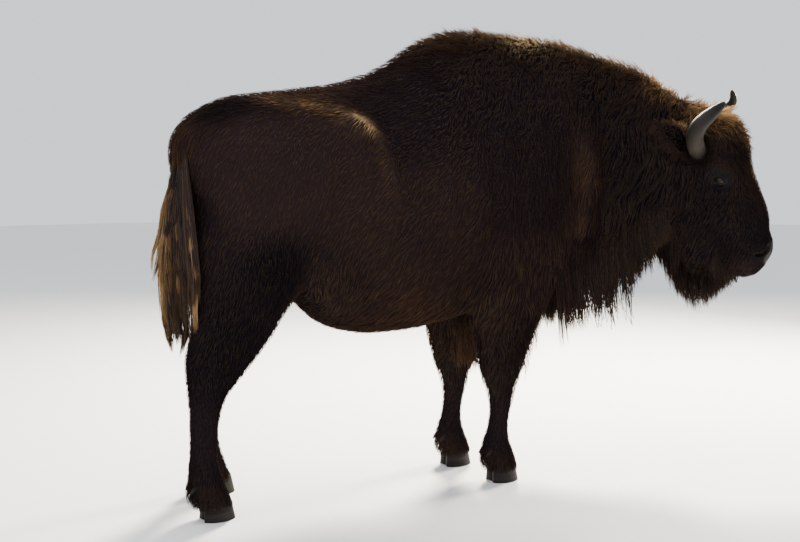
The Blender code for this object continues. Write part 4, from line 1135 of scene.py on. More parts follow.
def hair_finish(name, root_shade, tip_gold, roughness=0.72, specular=0.0):
    """Hair: the hide's own markings, darker at the roots, each tuft a little lighter or darker, tips bleached and
    golder; where the markings carry painted rim light, it lies most on the tips.
    """
    made = Finish(
        name, Roughness=roughness, Specular_IOR_Level=specular, Sheen_Weight=0.06,
        Sheen_Roughness=0.35, Sheen_Tint=(1.0, 0.78, 0.58, 1.0),
    )
    tip, strand = made.attribute("tip"), made.attribute("strand")
    base = made.mix(made.attribute("brown"), TONES["black"], TONES["brown"])
    # gold and straw grow towards the tips: in part painted rim light along the top line, the hip and the tail's rear
    # edge
    base = made.mix(made.attribute("gold") * (0.35 + tip * 0.65) * (0.45 + strand * 1.1), base, TONES["gold"])
    base = made.mix(made.attribute("straw") * (0.4 + tip * 0.6) * (0.4 + strand * 1.2), base, TONES["straw"])
    base = made.mix(made.attribute("orbit") * 0.7, base, TONES["orbit"])
    base = made.mix(tip.between(0.55, 1.0) * tip_gold, base, TONES["gold"])
    fleck = made.noise(260.0, 2.0)
    base = made.mix(fleck.between(0.35, 0.8) * 0.045, base, TONES["gold"])
    base = made.mix((1 - tip.between(0.0, 0.6)) * root_shade, base, (0.003, 0.0023, 0.003, 1.0))
    base = made.mix((0.5 - strand).between(0.0, 0.5) * 0.16, base, (0.004, 0.003, 0.003, 1.0))
    base = made.mix((strand - 0.5).between(0.0, 0.5) * 0.07, base, made.mix(0.5, base, TONES["gold"]))
    made.colour(base)
    made.bump(made.noise(900.0, 2.0), 0.0004, 0.5)
    return made


coat_finish = hair_finish("coat_hair", 0.20, 0.022)

skin_density = (COAT_COVER[0] + COAT_COVER[1] * GROUND_COAT["curl"]) / (GROUND_COAT["length"] * GROUND_COAT["width"])
skin_density = skin_density * (1 - bare_at(GROUND)) * (1 - ORBIT_THINNING * orbit_at(GROUND))
skin_density = skin_density * (GROUND[:, 2] > LOWEST_TUFT)
coat_roots, coat_spots = scattered(skin_density, COAT_SEED)

# name: lowest and highest place along (bend taken out), lowest and highest height
COAT_PARTS = {
    "haunch": (-2.0, -0.95, LEG_TOP, 2.0), "barrel": (-0.95, -0.45, 0.5, 2.0),
    "shoulder": (-0.45, 0.10, LEG_TOP, 2.0),
    "neck": (0.10, 0.60, 0.5, 2.0), "head": (0.60, 2.0, 0.5, 2.0),
    "hind_legs": (-2.0, -0.62, 0.0, LEG_TOP), "fore_legs": (-0.62, 0.2, 0.0, LEG_TOP),
}
WOOLLY = ("shoulder", "neck")
SIDES = (("right", -1), ("left", 1))


def coat_part(name, roots, spots, seed):
    """Tufts of one part of the coat, with the depth, length, width and curl of the chart."""
    rng = np.random.default_rng(seed)
    chart = {column: GROUND_COAT[column][spots] for column in ("depth", "length", "width", "curl")}
    length = chart["length"] * rng.uniform(*COAT_LENGTHS, len(roots))
    rise = chart["depth"] * rng.uniform(*COAT_RISES, len(roots)) ** 1.2
    stations = 4 if name.startswith(WOOLLY) else 3
    lines, ups = hair_lines(roots, spots, length, rise, stations)
    lines = gathered(lines, lock_numbers(roots, COAT_CELL, seed), 0.45 * np.clip(chart["curl"] * 1.3, 0, 1))
    lines = curled(lines, ups, chart["curl"] * COAT_WAVE, 0.9, seed)
    width = chart["width"] * rng.uniform(*COAT_WIDTHS, len(roots))
    return tuft_piece("coat_" + name, lines, ups, width, coat_finish, rng.uniform(0, 1, len(roots)))


straight_roots, _ = unbend(coat_roots)
for number, (name, (rear, front, low, high)) in enumerate(COAT_PARTS.items()):
    along, across, up = straight_roots.T
    inside = (along >= rear) & (along < front) & (up >= low) & (up < high)
    for word, side in SIDES:
        chosen = np.nonzero(inside & (np.sign(across + 1e-9) == side))[0]
        chosen = chosen[np.argsort(along[chosen], kind="stable")]
        coat_part(f"{name}_{word}", coat_roots[chosen], coat_spots[chosen], COAT_SEED + 7 * number)


# ---------------------------------------------------------------- crest: upright hair on hump, nape and crown
# Fine upright hair that stands out of the wool along the top line, its tips golden: partly sun-bleached hair
# and partly painted rim light standing for light from behind; on the front of the hump last year's wool
# still clings to it in pale curly clumps. Each hair lock is rooted in the hide.

CREST_SEED = 51
CREST_COUNT_PER_AREA = 33000
CREST_LENGTHS, CREST_RISE, CREST_WIDTHS = (1.25, 1.9), (0.75, 1.25), (0.0016, 0.0030)  # the first two over depth
CREST_CELL, LEAST_CREST, CROWN_START = 0.020, 0.05, 0.60
WOOL_PLACE, WOOL_REACH = (-0.005, 0.040, 1.72), (0.068, 0.036, 0.036)


def top_share(points, normals):
    """How near hide points lie to the top line of hump, nape and crown: 1 on it, and nearly 0 some 15 cm beside it."""
    straight, _ = unbend(points)
    place = mirrored(points)
    on_back = step_between(straight[:, 0], -0.60, -0.35) * (straight[:, 0] < 0.62) * (straight[:, 2] > 1.3)
    on_crown = (straight[:, 0] >= 0.62) * (1 - step_between(place[:, 0], 0.02, 0.22))
    on_crown = on_crown * step_between(place[:, 1], -0.12, 0.02)
    side = np.exp(-((straight[:, 1] / 0.085) ** 2))
    return side * np.maximum(on_back, on_crown) * step_between(normals[:, 2], 0.0, 0.5)


crest_share = top_share(GROUND, GROUND_NORMALS)
roots, spots = scattered(np.where(crest_share > LEAST_CREST, CREST_COUNT_PER_AREA * crest_share, 0.0), CREST_SEED)
rng = np.random.default_rng(CREST_SEED)
straight_places, _ = unbend(roots)
wool = hill(folded(straight_places), WOOL_PLACE, WOOL_REACH)
depth = GROUND_COAT["depth"][spots]
length = depth * rng.uniform(*CREST_LENGTHS, len(roots))
gold = GROUND_COAT["gold"][spots]
mop = (straight_places[:, 0] > CROWN_START) * 1.0
lift = depth * rng.uniform(*CREST_RISE, len(roots)) * (0.5 + 0.5 * crest_share[spots])
lines, ups = hair_lines(roots, spots, length, lift, 4, cling=0.2, stand=2.2)
lock = lock_numbers(roots, CREST_CELL, CREST_SEED)
lean = rng.normal(0, 1, (lock.max() + 1, 3))[lock] * (length * (0.10 + 0.16 * mop))[:, None]
lines = lines + np.linspace(0, 1, 4)[None, :, None] ** 1.3 * lean[:, None]
lines = gathered(lines, lock, 0.35 + 0.4 * wool + 0.25 * mop)
lines = curled(lines, ups, 0.003 + 0.008 * wool + 0.004 * mop, 0.8 + 0.8 * wool, CREST_SEED)
# gold strongest on the middle line and the crown: in part painted rim light along the top outline
ridge = np.maximum(np.exp(-((straight_places[:, 1] / 0.050) ** 2)), mop)
marks = {
    "brown": 0.8,
    "gold": np.clip(((1.1 + 0.4 * mop) * gold + 0.20 * rng.uniform(0, 1, len(roots))) * ridge, 0, 1),
    "straw": np.clip(1.3 * wool * (rng.uniform(0, 1, len(roots)) < 0.75) + 0.50 * gold * ridge**2, 0, 1),
    "bare": 0.0,
}
tuft_piece(
    "coat_crest", lines, ups, rng.uniform(*CREST_WIDTHS, len(roots)) * (1 + 0.5 * wool), coat_finish,
    rng.uniform(0.3, 1, len(roots)), marks,
)


# ---------------------------------------------------------------- ear hair
# Short dark hair over the back of each ear, longer hair that fringes its edges and fills its hollow, with
# paler tips along the upper edge. It grows from the ear's leaf of hide.

EAR_HAIRS = 1050


def ear_hair(side, seed):
    """Lines from random places on the ear's leaf towards its tip and off its surface, drooping a little, and
    how near each root is to the upper edge."""
    rng = np.random.default_rng(seed)
    leaf = ear_leaf(side)
    rows, columns = leaf.shape[:2]
    row, column = rng.integers(0, rows - 1, EAR_HAIRS), rng.integers(0, columns, EAR_HAIRS)
    share = rng.uniform(0, 1, (EAR_HAIRS, 1))
    after = (column + 1) % columns
    roots = leaf[row, column] * (1 - share) + leaf[row + 1, after] * share
    middle = leaf.mean(1)[row]
    along, wide, opening = (axis @ HEAD_AXES for axis in ear_frame(side))
    off = roots - middle
    off -= (off @ along)[:, None] * along
    edge = np.abs(off @ wide) / np.maximum(np.abs((leaf - leaf.mean(1, keepdims=True)) @ wide).max(1)[row], 1e-3)
    face = np.where(np.sin(2 * math.pi * column / columns) > 0, 1.0, -1.0)[:, None] * opening
    normals = unit(face + 1.2 * edge[:, None] ** 3 * off / np.maximum(np.linalg.norm(off, axis=1, keepdims=True), 1e-4))
    fringe = edge**3
    length = (0.028 + 0.018 * fringe + 0.014 * rng.uniform(0, 1, EAR_HAIRS))[:, None]
    heading = along + 0.30 * normals + 0.9 * fringe[:, None] * normals + rng.normal(0, 0.16, (EAR_HAIRS, 3))
    heading = unit(heading)
    step = np.linspace(0, 1, 4)[None, :, None]
    fall = np.array([0.0, 0.0, -0.45])
    lines = (roots - 0.001 * normals)[:, None] + length[:, None] * (step * heading[:, None] + step**2 * 0.5 * fall)
    upper = np.clip(off[:, 2] / 0.03, 0, 1) * fringe
    return lines, np.repeat(normals[:, None], 4, 1), upper


for word, side in SIDES:
    lines, ups, upper = ear_hair(side, 55 + side)
    rng = np.random.default_rng(57 + side)
    marks = {
        "brown": rng.uniform(0.4, 1.1, EAR_HAIRS), "gold": 0.04 + 0.5 * upper**2, "straw": 0.25 * upper**3, "bare": 0.0,
    }
    tuft_piece(
        f"coat_ear_{word}", lines, ups, rng.uniform(0.0018, 0.0030, EAR_HAIRS), coat_finish,
        rng.uniform(0, 1, EAR_HAIRS), marks,
    )


# ---------------------------------------------------------------- hanging hair: throat mane and beard
# Long coarse hair under neck, jaw and chin, in narrow pointed locks that hang to an uneven edge. Its lower
# edge runs along the neck as the solids have it: (place along from the bend's start, height).

MANE_EDGE = np.array((
    (-0.06, 0.55), (-0.02, 0.455), (0.02, 0.40), (0.05, 0.43), (0.075, 0.485), (0.10, 0.52), (0.13, 0.52),
    (0.172, 0.52), (0.22, 0.54), (0.265, 0.59), (0.30, 0.645), (0.355, 0.70), (0.41, 0.668), (0.44, 0.695),
    (0.475, 0.715), (0.51, 0.755), (0.545, 0.83), (0.60, 0.895),
))
BEARD_EDGE = np.array((
    (0.50, 0.93), (0.535, 0.89), (0.575, 0.80), (0.62, 0.715), (0.68, 0.672), (0.735, 0.628), (0.79, 0.680),
    (0.845, 0.74), (0.872, 0.79), (0.92, 0.82),
))
NECK_UNDERLINE = np.array(((-0.12, 0.76), (0.05, 0.72), (0.20, 0.755), (0.36, 0.82), (0.52, 0.895), (0.78, 1.04)))
MANE_DENSITY, BEARD_DENSITY = 66000, 23000
MANE_SEED, BEARD_SEED = 61, 62
MANE_WIDTH, BEARD_WIDTH, MANE_CELL, BEARD_CELL = 0.0044, 0.0032, 0.020, 0.022
MANE_TOP = 0.15  # how far over the neck's underline it starts
LOCK_REACH = (0.94, 1.06)
FORWARD_LEAN = 0.10

long_finish = hair_finish("long_hair", 0.45, 0.03, 0.70)


def hanging_locks(name, roots, spots, edge, width, seed, cell, stations):
    """Locks from the hide down to the edge. Each line is stretched upright so that its tip comes to the edge's
    height there, short of it by a share that is drawn for each lock and again for each tuft."""
    rng = np.random.default_rng(seed)
    straight, angle = unbend(roots)
    lock = lock_numbers(roots, cell, seed)
    low = np.interp(straight[:, 0], edge[:, 0], edge[:, 1])
    low = low + 0.55 * np.clip(np.abs(straight[:, 1]) - 0.06, 0, 1)
    reach = rng.uniform(*LOCK_REACH, lock.max() + 1)[lock] * rng.uniform(0.93, 1.0, len(roots))
    drop = np.clip((roots[:, 2] - low) * reach, 0.035, 0.6)
    rise = rng.uniform(0.004, 0.030, len(roots))
    lines, ups = hair_lines(roots, spots, drop, rise, stations, droop=2.2, cling=0.0, stand=0.5)
    lines = gathered(lines, lock, 0.58)
    fallen = np.maximum(lines[:, :1, 2] - lines[:, -1:, 2], 0.02)
    stretch = np.clip(drop[:, None] / fallen, 0.7, 2.5)
    lines[:, :, 2] = lines[:, :1, 2] - stretch * (lines[:, :1, 2] - lines[:, :, 2])
    forward = np.stack([np.cos(angle), -np.sin(angle), np.zeros(len(roots))], 1)
    share = np.linspace(0, 1, stations)[None, :, None]
    lean = (FORWARD_LEAN * drop + 0.018 * wave_noise(roots, 0.05, seed + 9))[:, None, None]
    lines = lines + lean * share**1.5 * forward[:, None]
    lines = curled(lines, ups, 0.003 + 0.03 * drop, 1.6, seed)
    widths = width * rng.uniform(0.7, 1.3, len(roots))
    return tuft_piece(name, lines, ups, widths, long_finish, rng.uniform(0, 1, len(roots)))


ground_straight, _ = unbend(GROUND)
ground_place = mirrored(GROUND)
neck_under = np.interp(ground_straight[:, 0], *NECK_UNDERLINE.T)
mane_zone = (
    (GROUND_NORMALS[:, 2] < 0.30) & (ground_straight[:, 0] > -0.05) & (ground_straight[:, 0] < 0.62)
    & (np.abs(ground_straight[:, 1]) < 0.20) & (GROUND[:, 2] < neck_under + MANE_TOP)
    & (GROUND[:, 2] > np.interp(ground_straight[:, 0], *MANE_EDGE.T) + 0.03) & (ground_place[:, 0] < 0.24)
)
fading = 0.35 + 0.65 * step_between(neck_under + MANE_TOP - GROUND[:, 2], 0.0, 0.10)
roots, spots = scattered(np.where(mane_zone, MANE_DENSITY * fading, 0.0), MANE_SEED)
hanging_locks("hair_mane", roots, spots, MANE_EDGE, MANE_WIDTH, MANE_SEED, MANE_CELL, 6)
beard_zone = (
    (GROUND_NORMALS[:, 2] < -0.15) & (ground_place[:, 0] > 0.16) & (ground_place[:, 1] < -0.105)
    & (ground_place[:, 2] < 0.10) & (ground_straight[:, 0] > 0.52)
)
roots, spots = scattered(np.where(beard_zone, BEARD_DENSITY, 0.0), BEARD_SEED)
hanging_locks("hair_beard", roots, spots, BEARD_EDGE, BEARD_WIDTH, BEARD_SEED, BEARD_CELL, 6)


# ---------------------------------------------------------------- feather of the feet
# Longer hair that falls from fetlock and pastern over the coronet and the upper half of the hooves, and
# between the dewclaws. Rooted in the hide of the pasterns.

FEATHER_SEED = 65
FEATHER_DENSITY = 25000
FEATHER_BAND = (0.052, 0.150)  # heights of the roots


def loose_hair(name, roots, spots, drop, spread, cell, wave, widths, rng, seed, marks=None):
    """Tufts that fall nearly free of a leg: they spread outwards, less and less, by one less the square of
    the way left, and drop by the share of the way to the power 1.15. Wave is a width and a number of turns."""
    outward = unit(GROUND_NORMALS[spots] * [1, 1, 0], 1e-6)
    step = np.linspace(0, 1, 4)[None, :, None]
    lines = (roots - ROOT_DEPTH * outward)[:, None] + spread[:, None, None] * outward[:, None] * (1 - (1 - step) ** 2)
    lines = lines - drop[:, None, None] * step**1.15 * np.array([0.0, 0.0, 1.0])
    lines = gathered(lines, lock_numbers(roots, cell, seed), 0.5)
    ups = unit(np.repeat(outward[:, None] + [0, 0, 0.3], 4, 1))
    lines = curled(lines, ups, *wave, seed)
    width, strand = rng.uniform(*widths, len(roots)), rng.uniform(0, 1, len(roots))
    tuft_piece(name, lines, ups, width, coat_finish, strand, marks)


in_band = (GROUND[:, 2] > FEATHER_BAND[0]) & (GROUND[:, 2] < FEATHER_BAND[1])
roots, spots = scattered(np.where(in_band, FEATHER_DENSITY, 0.0), FEATHER_SEED)
rng = np.random.default_rng(FEATHER_SEED)
drop = np.clip((roots[:, 2] - 0.022) * rng.uniform(0.35, 0.80, len(roots)), 0.018, 0.055)
spread = 0.006 + 0.010 * rng.uniform(0, 1, len(roots)) + 0.12 * np.clip(0.09 - roots[:, 2], 0, 1)
loose_hair("hair_feather", roots, spots, drop, spread, 0.016, (0.004, 0.8), (0.0018, 0.0034), rng, FEATHER_SEED)


# ---------------------------------------------------------------- shag of the forearms
# Loose shaggy hair of the elbows and forearms, longest on the inner front, where it hangs as an apron from
# brisket to knee. Rooted in the hide, it falls nearly free of the leg.

SHAG_DENSITY, SHAG_BAND = 12500, (0.42, 0.66)  # tufts on a square metre of hide, and the heights of the roots

across = ground_straight[:, 1]
inner_front = GROUND_NORMALS @ [0.62, 0.0, -0.1] - 0.78 * np.sign(across) * GROUND_NORMALS[:, 1]
fore = (ground_straight[:, 0] > -0.45) & (ground_straight[:, 0] < 0.10) & (np.abs(across) > 0.02)
in_band = fore & (GROUND[:, 2] > SHAG_BAND[0]) & (GROUND[:, 2] < SHAG_BAND[1])
roots, spots = scattered(np.where(in_band, SHAG_DENSITY * (0.5 + 0.8 * np.clip(inner_front, 0, 1)), 0.0), 67)
rng = np.random.default_rng(67)
apron = step_between(inner_front[spots], 0.40, 0.80) * step_between(roots[:, 2], 0.44, 0.52)
drop = (0.040 + 0.080 * apron) * rng.uniform(0.5, 1.3, len(roots))
spread = (0.007 + 0.040 * apron) * rng.uniform(0.4, 1.1, len(roots))
marks = {"brown": 0.25 + 0.85 * apron, "gold": 0.10 * apron, "straw": 0.0, "bare": 0.0}
loose_hair("hair_forearm", roots, spots, drop, spread, 0.022, (0.006, 1.2), (0.0026, 0.0042), rng, 67, marks)


# ---------------------------------------------------------------- tail hair
# Long hair that falls from the whole length of the dock and ends in a tassel, wavy, golden along its rear
# edge and on some locks: painted rim light and painted highlights, strongest low down. Rows of the outline:
# height, rear edge, front edge and half width.

TAIL_ROWS = np.array((
    (1.322, -1.120, -1.042, 0.028), (1.26, -1.139, -1.042, 0.040), (1.18, -1.154, -1.062, 0.047),
    (1.12, -1.163, -1.074, 0.050), (1.03, -1.180, -1.074, 0.055), (0.94, -1.194, -1.070, 0.060),
    (0.84, -1.204, -1.060, 0.062), (0.77, -1.202, -1.054, 0.060), (0.71, -1.196, -1.048, 0.054),
    (0.65, -1.185, -1.052, 0.046), (0.60, -1.170, -1.066, 0.034), (0.545, -1.145, -1.096, 0.010),
))[::-1]
TAIL_MIDDLE = 0.1025
# right edge of the locks that hang over the near buttock: height and place
TAIL_DRAPE = np.array((
    (0.600, -1.092, -0.085), (0.660, -1.086, -0.100), (0.750, -1.086, -0.100), (0.822, -1.083, -0.124),
    (0.890, -1.083, -0.126), (1.025, -1.083, -0.101), (1.159, -1.085, -0.066), (1.278, -1.096, -0.051),
    (1.320, -1.095, 0.010),
))
TAIL_ROOT, TAIL_END, LONGEST_LOCKS = 1.315, 0.60, 9  # heights, and the number of locks that end lowest
TAIL_LOCKS, DRAPED_LOCKS, TAIL_TUFTS = 64, 28, 40  # locks round the dock and over the buttock, tufts in each


def tail_lines(stations, seed):
    """Lines of the tail's locks, that hang inside the outline. A lock keeps its bearing round the dock and its
    share of the way out, sways from side to side as it falls, and narrows from its root to a point. Also
    returns how far to the rear each line hangs and its lock's number."""
    rng = np.random.default_rng(seed)
    locks = TAIL_LOCKS + DRAPED_LOCKS
    draped = np.arange(locks) >= TAIL_LOCKS
    lock = np.repeat(np.arange(locks), TAIL_TUFTS)
    share = np.linspace(0, 1, stations)[None]
    level = np.where(draped, rng.uniform(0, 0.45, locks), (np.arange(locks) + rng.uniform(0, 1, locks)) / TAIL_LOCKS)
    top = TAIL_ROOT - 0.52 * level**1.2
    foot = np.maximum(top - rng.uniform(0.26, 0.48, locks), TAIL_END + 0.10 * rng.uniform(0, 1, locks))
    foot[TAIL_LOCKS - LONGEST_LOCKS : TAIL_LOCKS] = rng.uniform(0.545, TAIL_END, LONGEST_LOCKS)
    foot = np.where(draped, rng.uniform(TAIL_END, 0.84, locks), foot)
    bearing, out = rng.uniform(0, 2 * math.pi, locks), rng.uniform(0.45, 0.98, locks)
    phase, sway, length = rng.uniform(0, 6.3, locks), rng.uniform(0.008, 0.020, locks), rng.uniform(0.13, 0.24, locks)
    fan = rng.uniform(0.1, 1.0, locks)
    count = len(lock)
    begin = (top[lock] + rng.normal(0, 0.02, count))[:, None]
    end = (foot[lock] + 0.05 * rng.uniform(0, 1, count) ** 3)[:, None]
    height = begin + (end - begin) * share
    rear, front, half = (np.interp(height, TAIL_ROWS[:, 0], TAIL_ROWS[:, i]) for i in (1, 2, 3))
    spread = (1 - 0.75 * share) * rng.normal(0, 1, (count, 1))
    turn = bearing[lock][:, None] + 0.50 * spread * rng.normal(0, 1, (count, 1)).clip(-1.5, 1.5) * 0.6
    reach = np.clip((0.30 + (out[lock][:, None] - 0.30) * share**0.7) * (1 + 0.10 * spread), 0.05, 1.0)
    wave = np.sin(2 * math.pi * height / length[lock][:, None] + phase[lock][:, None])
    wave = sway[lock][:, None] * wave * share**0.6
    x = (rear + front) / 2 + reach * (front - rear) / 2 * np.cos(turn) + 0.7 * wave
    y = TAIL_MIDDLE + reach * half * np.sin(turn) + wave
    x = np.clip(x, rear - 0.002, front + 0.002)
    over = draped[lock][:, None]
    spot = fan[lock][:, None] * (0.55 + 0.45 * share**0.6) + 0.06 * spread
    edge_x, edge_y = (np.interp(height, TAIL_DRAPE[:, 0], TAIL_DRAPE[:, i]) for i in (1, 2))
    inner_x, inner_y = (rear + front) / 2, TAIL_MIDDLE - 0.5 * half
    x = np.where(over, inner_x + spot * (edge_x - inner_x) - 0.008 * rng.uniform(0, 1, (count, 1)) + 0.3 * wave, x)
    y = np.where(over, inner_y + spot * (edge_y - inner_y) + wave, y)
    outwards_x, outwards_y = np.where(over, -0.8, np.cos(turn)), np.where(over, -0.6, np.sin(turn))
    ups = np.stack([outwards_x, outwards_y, np.full(turn.shape, 0.2)], 2)
    behind = np.where(over[:, 0], 0.3, (front - x).mean(1) / (front - rear).mean(1))
    return np.stack([x, y, height], 2), unit(ups), behind, lock


lines, ups, behind, lock = tail_lines(6, 71)
rng = np.random.default_rng(72)
lines = curled(lines, ups, 0.004, 1.3, 71)
# gold on the rear edge and on random locks: painted rim light and painted highlights
painted_light_gold = np.clip(step_between(behind, 0.54, 0.86) + rng.normal(0, 0.32, lock.max() + 1)[lock], 0, 1)
lower = step_between(1.15 - lines[:, 3, 2], 0.0, 0.35)
marks = {
    "brown": rng.uniform(0.3, 1.2, lock.max() + 1)[lock], "gold": 0.02 + 0.85 * painted_light_gold * (0.30 + 0.70 * lower),
    "straw": 0.42 * painted_light_gold**2 * lower, "bare": 0.0,
}
tail_finish = hair_finish("tail_hair", 0.40, 0.06, 0.60, 0.06)
tuft_piece(
    "hair_tail", lines, ups, rng.uniform(0.0026, 0.0048, len(lines)), tail_finish,
    0.6 * rng.uniform(0, 1, lock.max() + 1)[lock] + 0.4 * rng.uniform(0, 1, len(lines)), marks,
)


# ---------------------------------------------------------------- horns
# Horn sheaths of keratin over bone cores: short, thick at the base, turned out, up and in. Rough growth
# rings circle the base, the sides are grey-brown with a long grain, and the tip is worn smooth and dark.
# The lower half is painted darker on its side towards the face, partly as painted shade under its bend and
# partly as dirt.

HORN_LINE = np.array((
    (0.082, -0.012, 0.075), (0.078, -0.015, 0.092), (0.066, -0.025, 0.140), (0.032, -0.018, 0.181),
    (-0.002, -0.001, 0.212), (-0.028, 0.031, 0.231), (-0.044, 0.071, 0.229), (-0.055, 0.108, 0.213),
    (-0.065, 0.150, 0.190),
))
FAR_HORN_LINE = np.array((
    (0.082, -0.012, 0.075), (0.078, -0.012, 0.092), (0.055, -0.016, 0.140), (0.024, -0.006, 0.182),
    (-0.010, 0.030, 0.217), (-0.026, 0.083, 0.232), (-0.047, 0.132, 0.222), (-0.090, 0.150, 0.195),
))
RING_HEIGHT, RING_COUNT = 0.0011, 15  # growth rings
HORN_RADII = (0.034, 0.034, 0.0335, 0.033, 0.0325, 0.031, 0.0270, 0.0205, 0.0088)
FAR_HORN_RADII = (0.034, 0.034, 0.0335, 0.033, 0.0300, 0.0240, 0.0170, 0.0080)


def smooth_line(places, count):
    """Points evenly spread on a Catmull-Rom curve through the places, with the share of the line at each."""
    ends = np.concatenate([2 * places[:1] - places[1:2], places, 2 * places[-1:] - places[-2:-1]])
    at = np.linspace(0, len(places) - 1, count)
    i = np.minimum(at.astype(int), len(places) - 2)
    t = (at - i)[:, None]
    p0, p1, p2, p3 = ends[i], ends[i + 1], ends[i + 2], ends[i + 3]
    square, cube = 2 * p0 - 5 * p1 + 4 * p2 - p3, 3 * p1 - p0 - 3 * p2 + p3
    points = 0.5 * (2 * p1 + (p2 - p0) * t + square * t**2 + cube * t**3)
    return points, at / (len(places) - 1)


def horn_surface(side, rows=110, columns=40):
    """Rings round the horn's line; the radius is the sheath's, with growth rings that fade past the middle
    and shallow flutes along it."""
    places, radii = (HORN_LINE, HORN_RADII) if side < 0 else (FAR_HORN_LINE, FAR_HORN_RADII)
    line, share = smooth_line(on_head(places * [1, 1, side]), rows)
    radius = np.interp(share, np.linspace(0, 1, len(radii)), radii)
    radius = radius * np.sqrt(1 - 0.96 * np.clip((share - 0.95) / 0.05, 0, 1) ** 2)
    run = unit(np.gradient(line, axis=0))
    first = unit(np.cross(run, HEAD_AXES[1]))
    second = np.cross(run, first)
    angle = round_angles(columns)[None]
    fading = np.exp(-((share / 0.50) ** 2) * 1.6)
    ringing = RING_HEIGHT * np.sin(share * 2 * math.pi * RING_COUNT + 0.8 * np.sin(share * 31)) * fading
    flutes = 0.0005 * np.sin(9 * angle + 4 * share[:, None]) * (1 - share[:, None])
    reach = radius[:, None] + ringing[:, None] * (1 + 0.4 * np.sin(2 * angle)) + flutes
    return line[:, None] + reach[..., None] * around(angle, first[:, None], second[:, None]), share


horn_finish = Finish("horn_sheath", Roughness=0.60, Specular_IOR_Level=0.14)
tip = horn_finish.attribute("tip")
grain = horn_finish.noise(55.0, 5.0, (1, 1, 0.35))
fine_grain = horn_finish.noise(300.0, 3.0, (1, 1, 0.2))
tone = horn_finish.mix(tip.between(0.22, 0.55), (0.050, 0.037, 0.023, 1.0), (0.0135, 0.0108, 0.0088, 1.0))
tone = horn_finish.mix(tip.between(0.60, 0.90), tone, (0.0065, 0.0058, 0.0056, 1.0))
tone = horn_finish.mix(tip.between(0.90, 1.0) * 0.4, tone, (0.019, 0.016, 0.013, 1.0))
tone = horn_finish.mix(grain.between(0.42, 0.70) * 0.55, tone, (0.012, 0.010, 0.009, 1.0))
tone = horn_finish.mix(fine_grain.between(0.50, 0.80) * 0.2, tone, (0.060, 0.046, 0.033, 1.0))
# painted shade and dirt on the foot's side towards the face
tone = horn_finish.mix(horn_finish.attribute("foot"), tone, (0.006, 0.005, 0.005, 1.0))
horn_finish.colour(tone)
horn_finish.feed(horn_finish.shader.inputs["Roughness"], 0.66 - tip * 0.22 + grain * 0.12)
horn_finish.bump(grain * 0.7 + fine_grain * 0.3, 0.0014, 0.8)
COLLAR_DENSITY, COLLAR_REACH = 50000, 0.066  # tufts on a square metre of hide, and how far from the horn's line
ELBOW_HAIRS = 700
COLLAR_END = 0.075  # hair farther than this from the horn's middle isn't pushed out


def nearest_row(places, middle):
    """Number of the middle line's point that is nearest to each place."""
    return np.argmin(np.linalg.norm(places[:, None] - middle[None], axis=2), axis=1)


def collar_lines(rings, share, seed):
    """Hair that lies up the foot of a sheath, from the hide round it and out of the lowest rings: each line
    goes on along the horn, and is pushed out to just over the sheath wherever it would sink into it."""
    rng = np.random.default_rng(seed)
    middle = rings.mean(1)
    radius = np.linalg.norm(rings - middle[:, None], axis=2).mean(1)
    run = unit(np.gradient(middle, axis=0))
    foot = middle[: len(middle) // 4]
    away = np.linalg.norm(GROUND[:, None] - foot[None, ::3], axis=2).min(1)
    roots, spots = scattered(np.where(away < COLLAR_REACH, COLLAR_DENSITY, 0.0), seed)
    row = rng.integers(int(0.08 * len(rings)), int(0.27 * len(rings)), ELBOW_HAIRS)
    column = rng.integers(0, rings.shape[1], ELBOW_HAIRS)
    normals = unit(rings[row, column] - middle[row])
    low = normals @ HEAD_AXES[0]
    chosen = (rng.uniform(0, 1, ELBOW_HAIRS) < 0.30 + 0.8 * low) & (share[row] < 0.16 + 0.10 * low)
    starts = np.concatenate([roots, rings[row, column][chosen]])
    normals = np.concatenate([GROUND_NORMALS[spots], normals[chosen]])
    count = len(starts)
    near = nearest_row(starts, middle)
    heading = unit(run[near] + 0.35 * normals + rng.normal(0, 0.20, (count, 3)))
    length = rng.uniform(0.024, 0.046, count)
    lift = rng.uniform(0.0010, 0.0050, count)
    places = [starts - 0.0015 * normals]
    for share_out in (1 / 3, 2 / 3, 1.0):
        place = starts + (length * share_out)[:, None] * heading
        near = nearest_row(place, middle)
        outward = place - middle[near]
        distance = np.linalg.norm(outward, axis=1)
        wanted = radius[near] + lift * (1.2 - share_out)
        shift = np.where(distance < COLLAR_END, np.maximum(wanted - distance, 0), 0)
        places.append(place + (shift / np.maximum(distance, 1e-6))[:, None] * outward)
    return np.stack(places, 1), np.repeat(normals[:, None], 4, 1)


for word, side in SIDES:
    rings, share = horn_surface(side)
    points, faces = closed_rings(rings)
    made = new_object(f"horn_sheath_{word}", points, outwards(points, faces), horn_finish.material)
    all_shares = np.append(np.repeat(share, rings.shape[1]), [0.0, 1.0])
    add_attribute(made, "tip", all_shares)
    # foot: painted shade and dirt, on the side of the lower half towards the face
    add_attribute(made, "foot", step_between(of_head(points)[:, 0], 0.036, 0.078) * (all_shares < 0.5))
    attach(made, "root")
    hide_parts(f"horn_{word}")
    lines, ups = collar_lines(rings, share, 58 + side)
    rng = np.random.default_rng(60 + side)
    marks = {"brown": 0.15, "gold": 0.0, "straw": 0.0, "bare": 0.0}
    tuft_piece(
        f"coat_horn_collar_{word}", lines, ups, rng.uniform(0.0016, 0.0026, len(lines)), coat_finish,
        rng.uniform(0, 1, len(lines)), marks,
    )


# ---------------------------------------------------------------- eyes and lids
# Glass eyes: dark brown, with a wide pupil, set into lids of bare dark leather with a fold above and a
# pouch below.

LID_OPENING = (0.0188, 0.0088, 0.0064)  # half length, height above and height below the middle
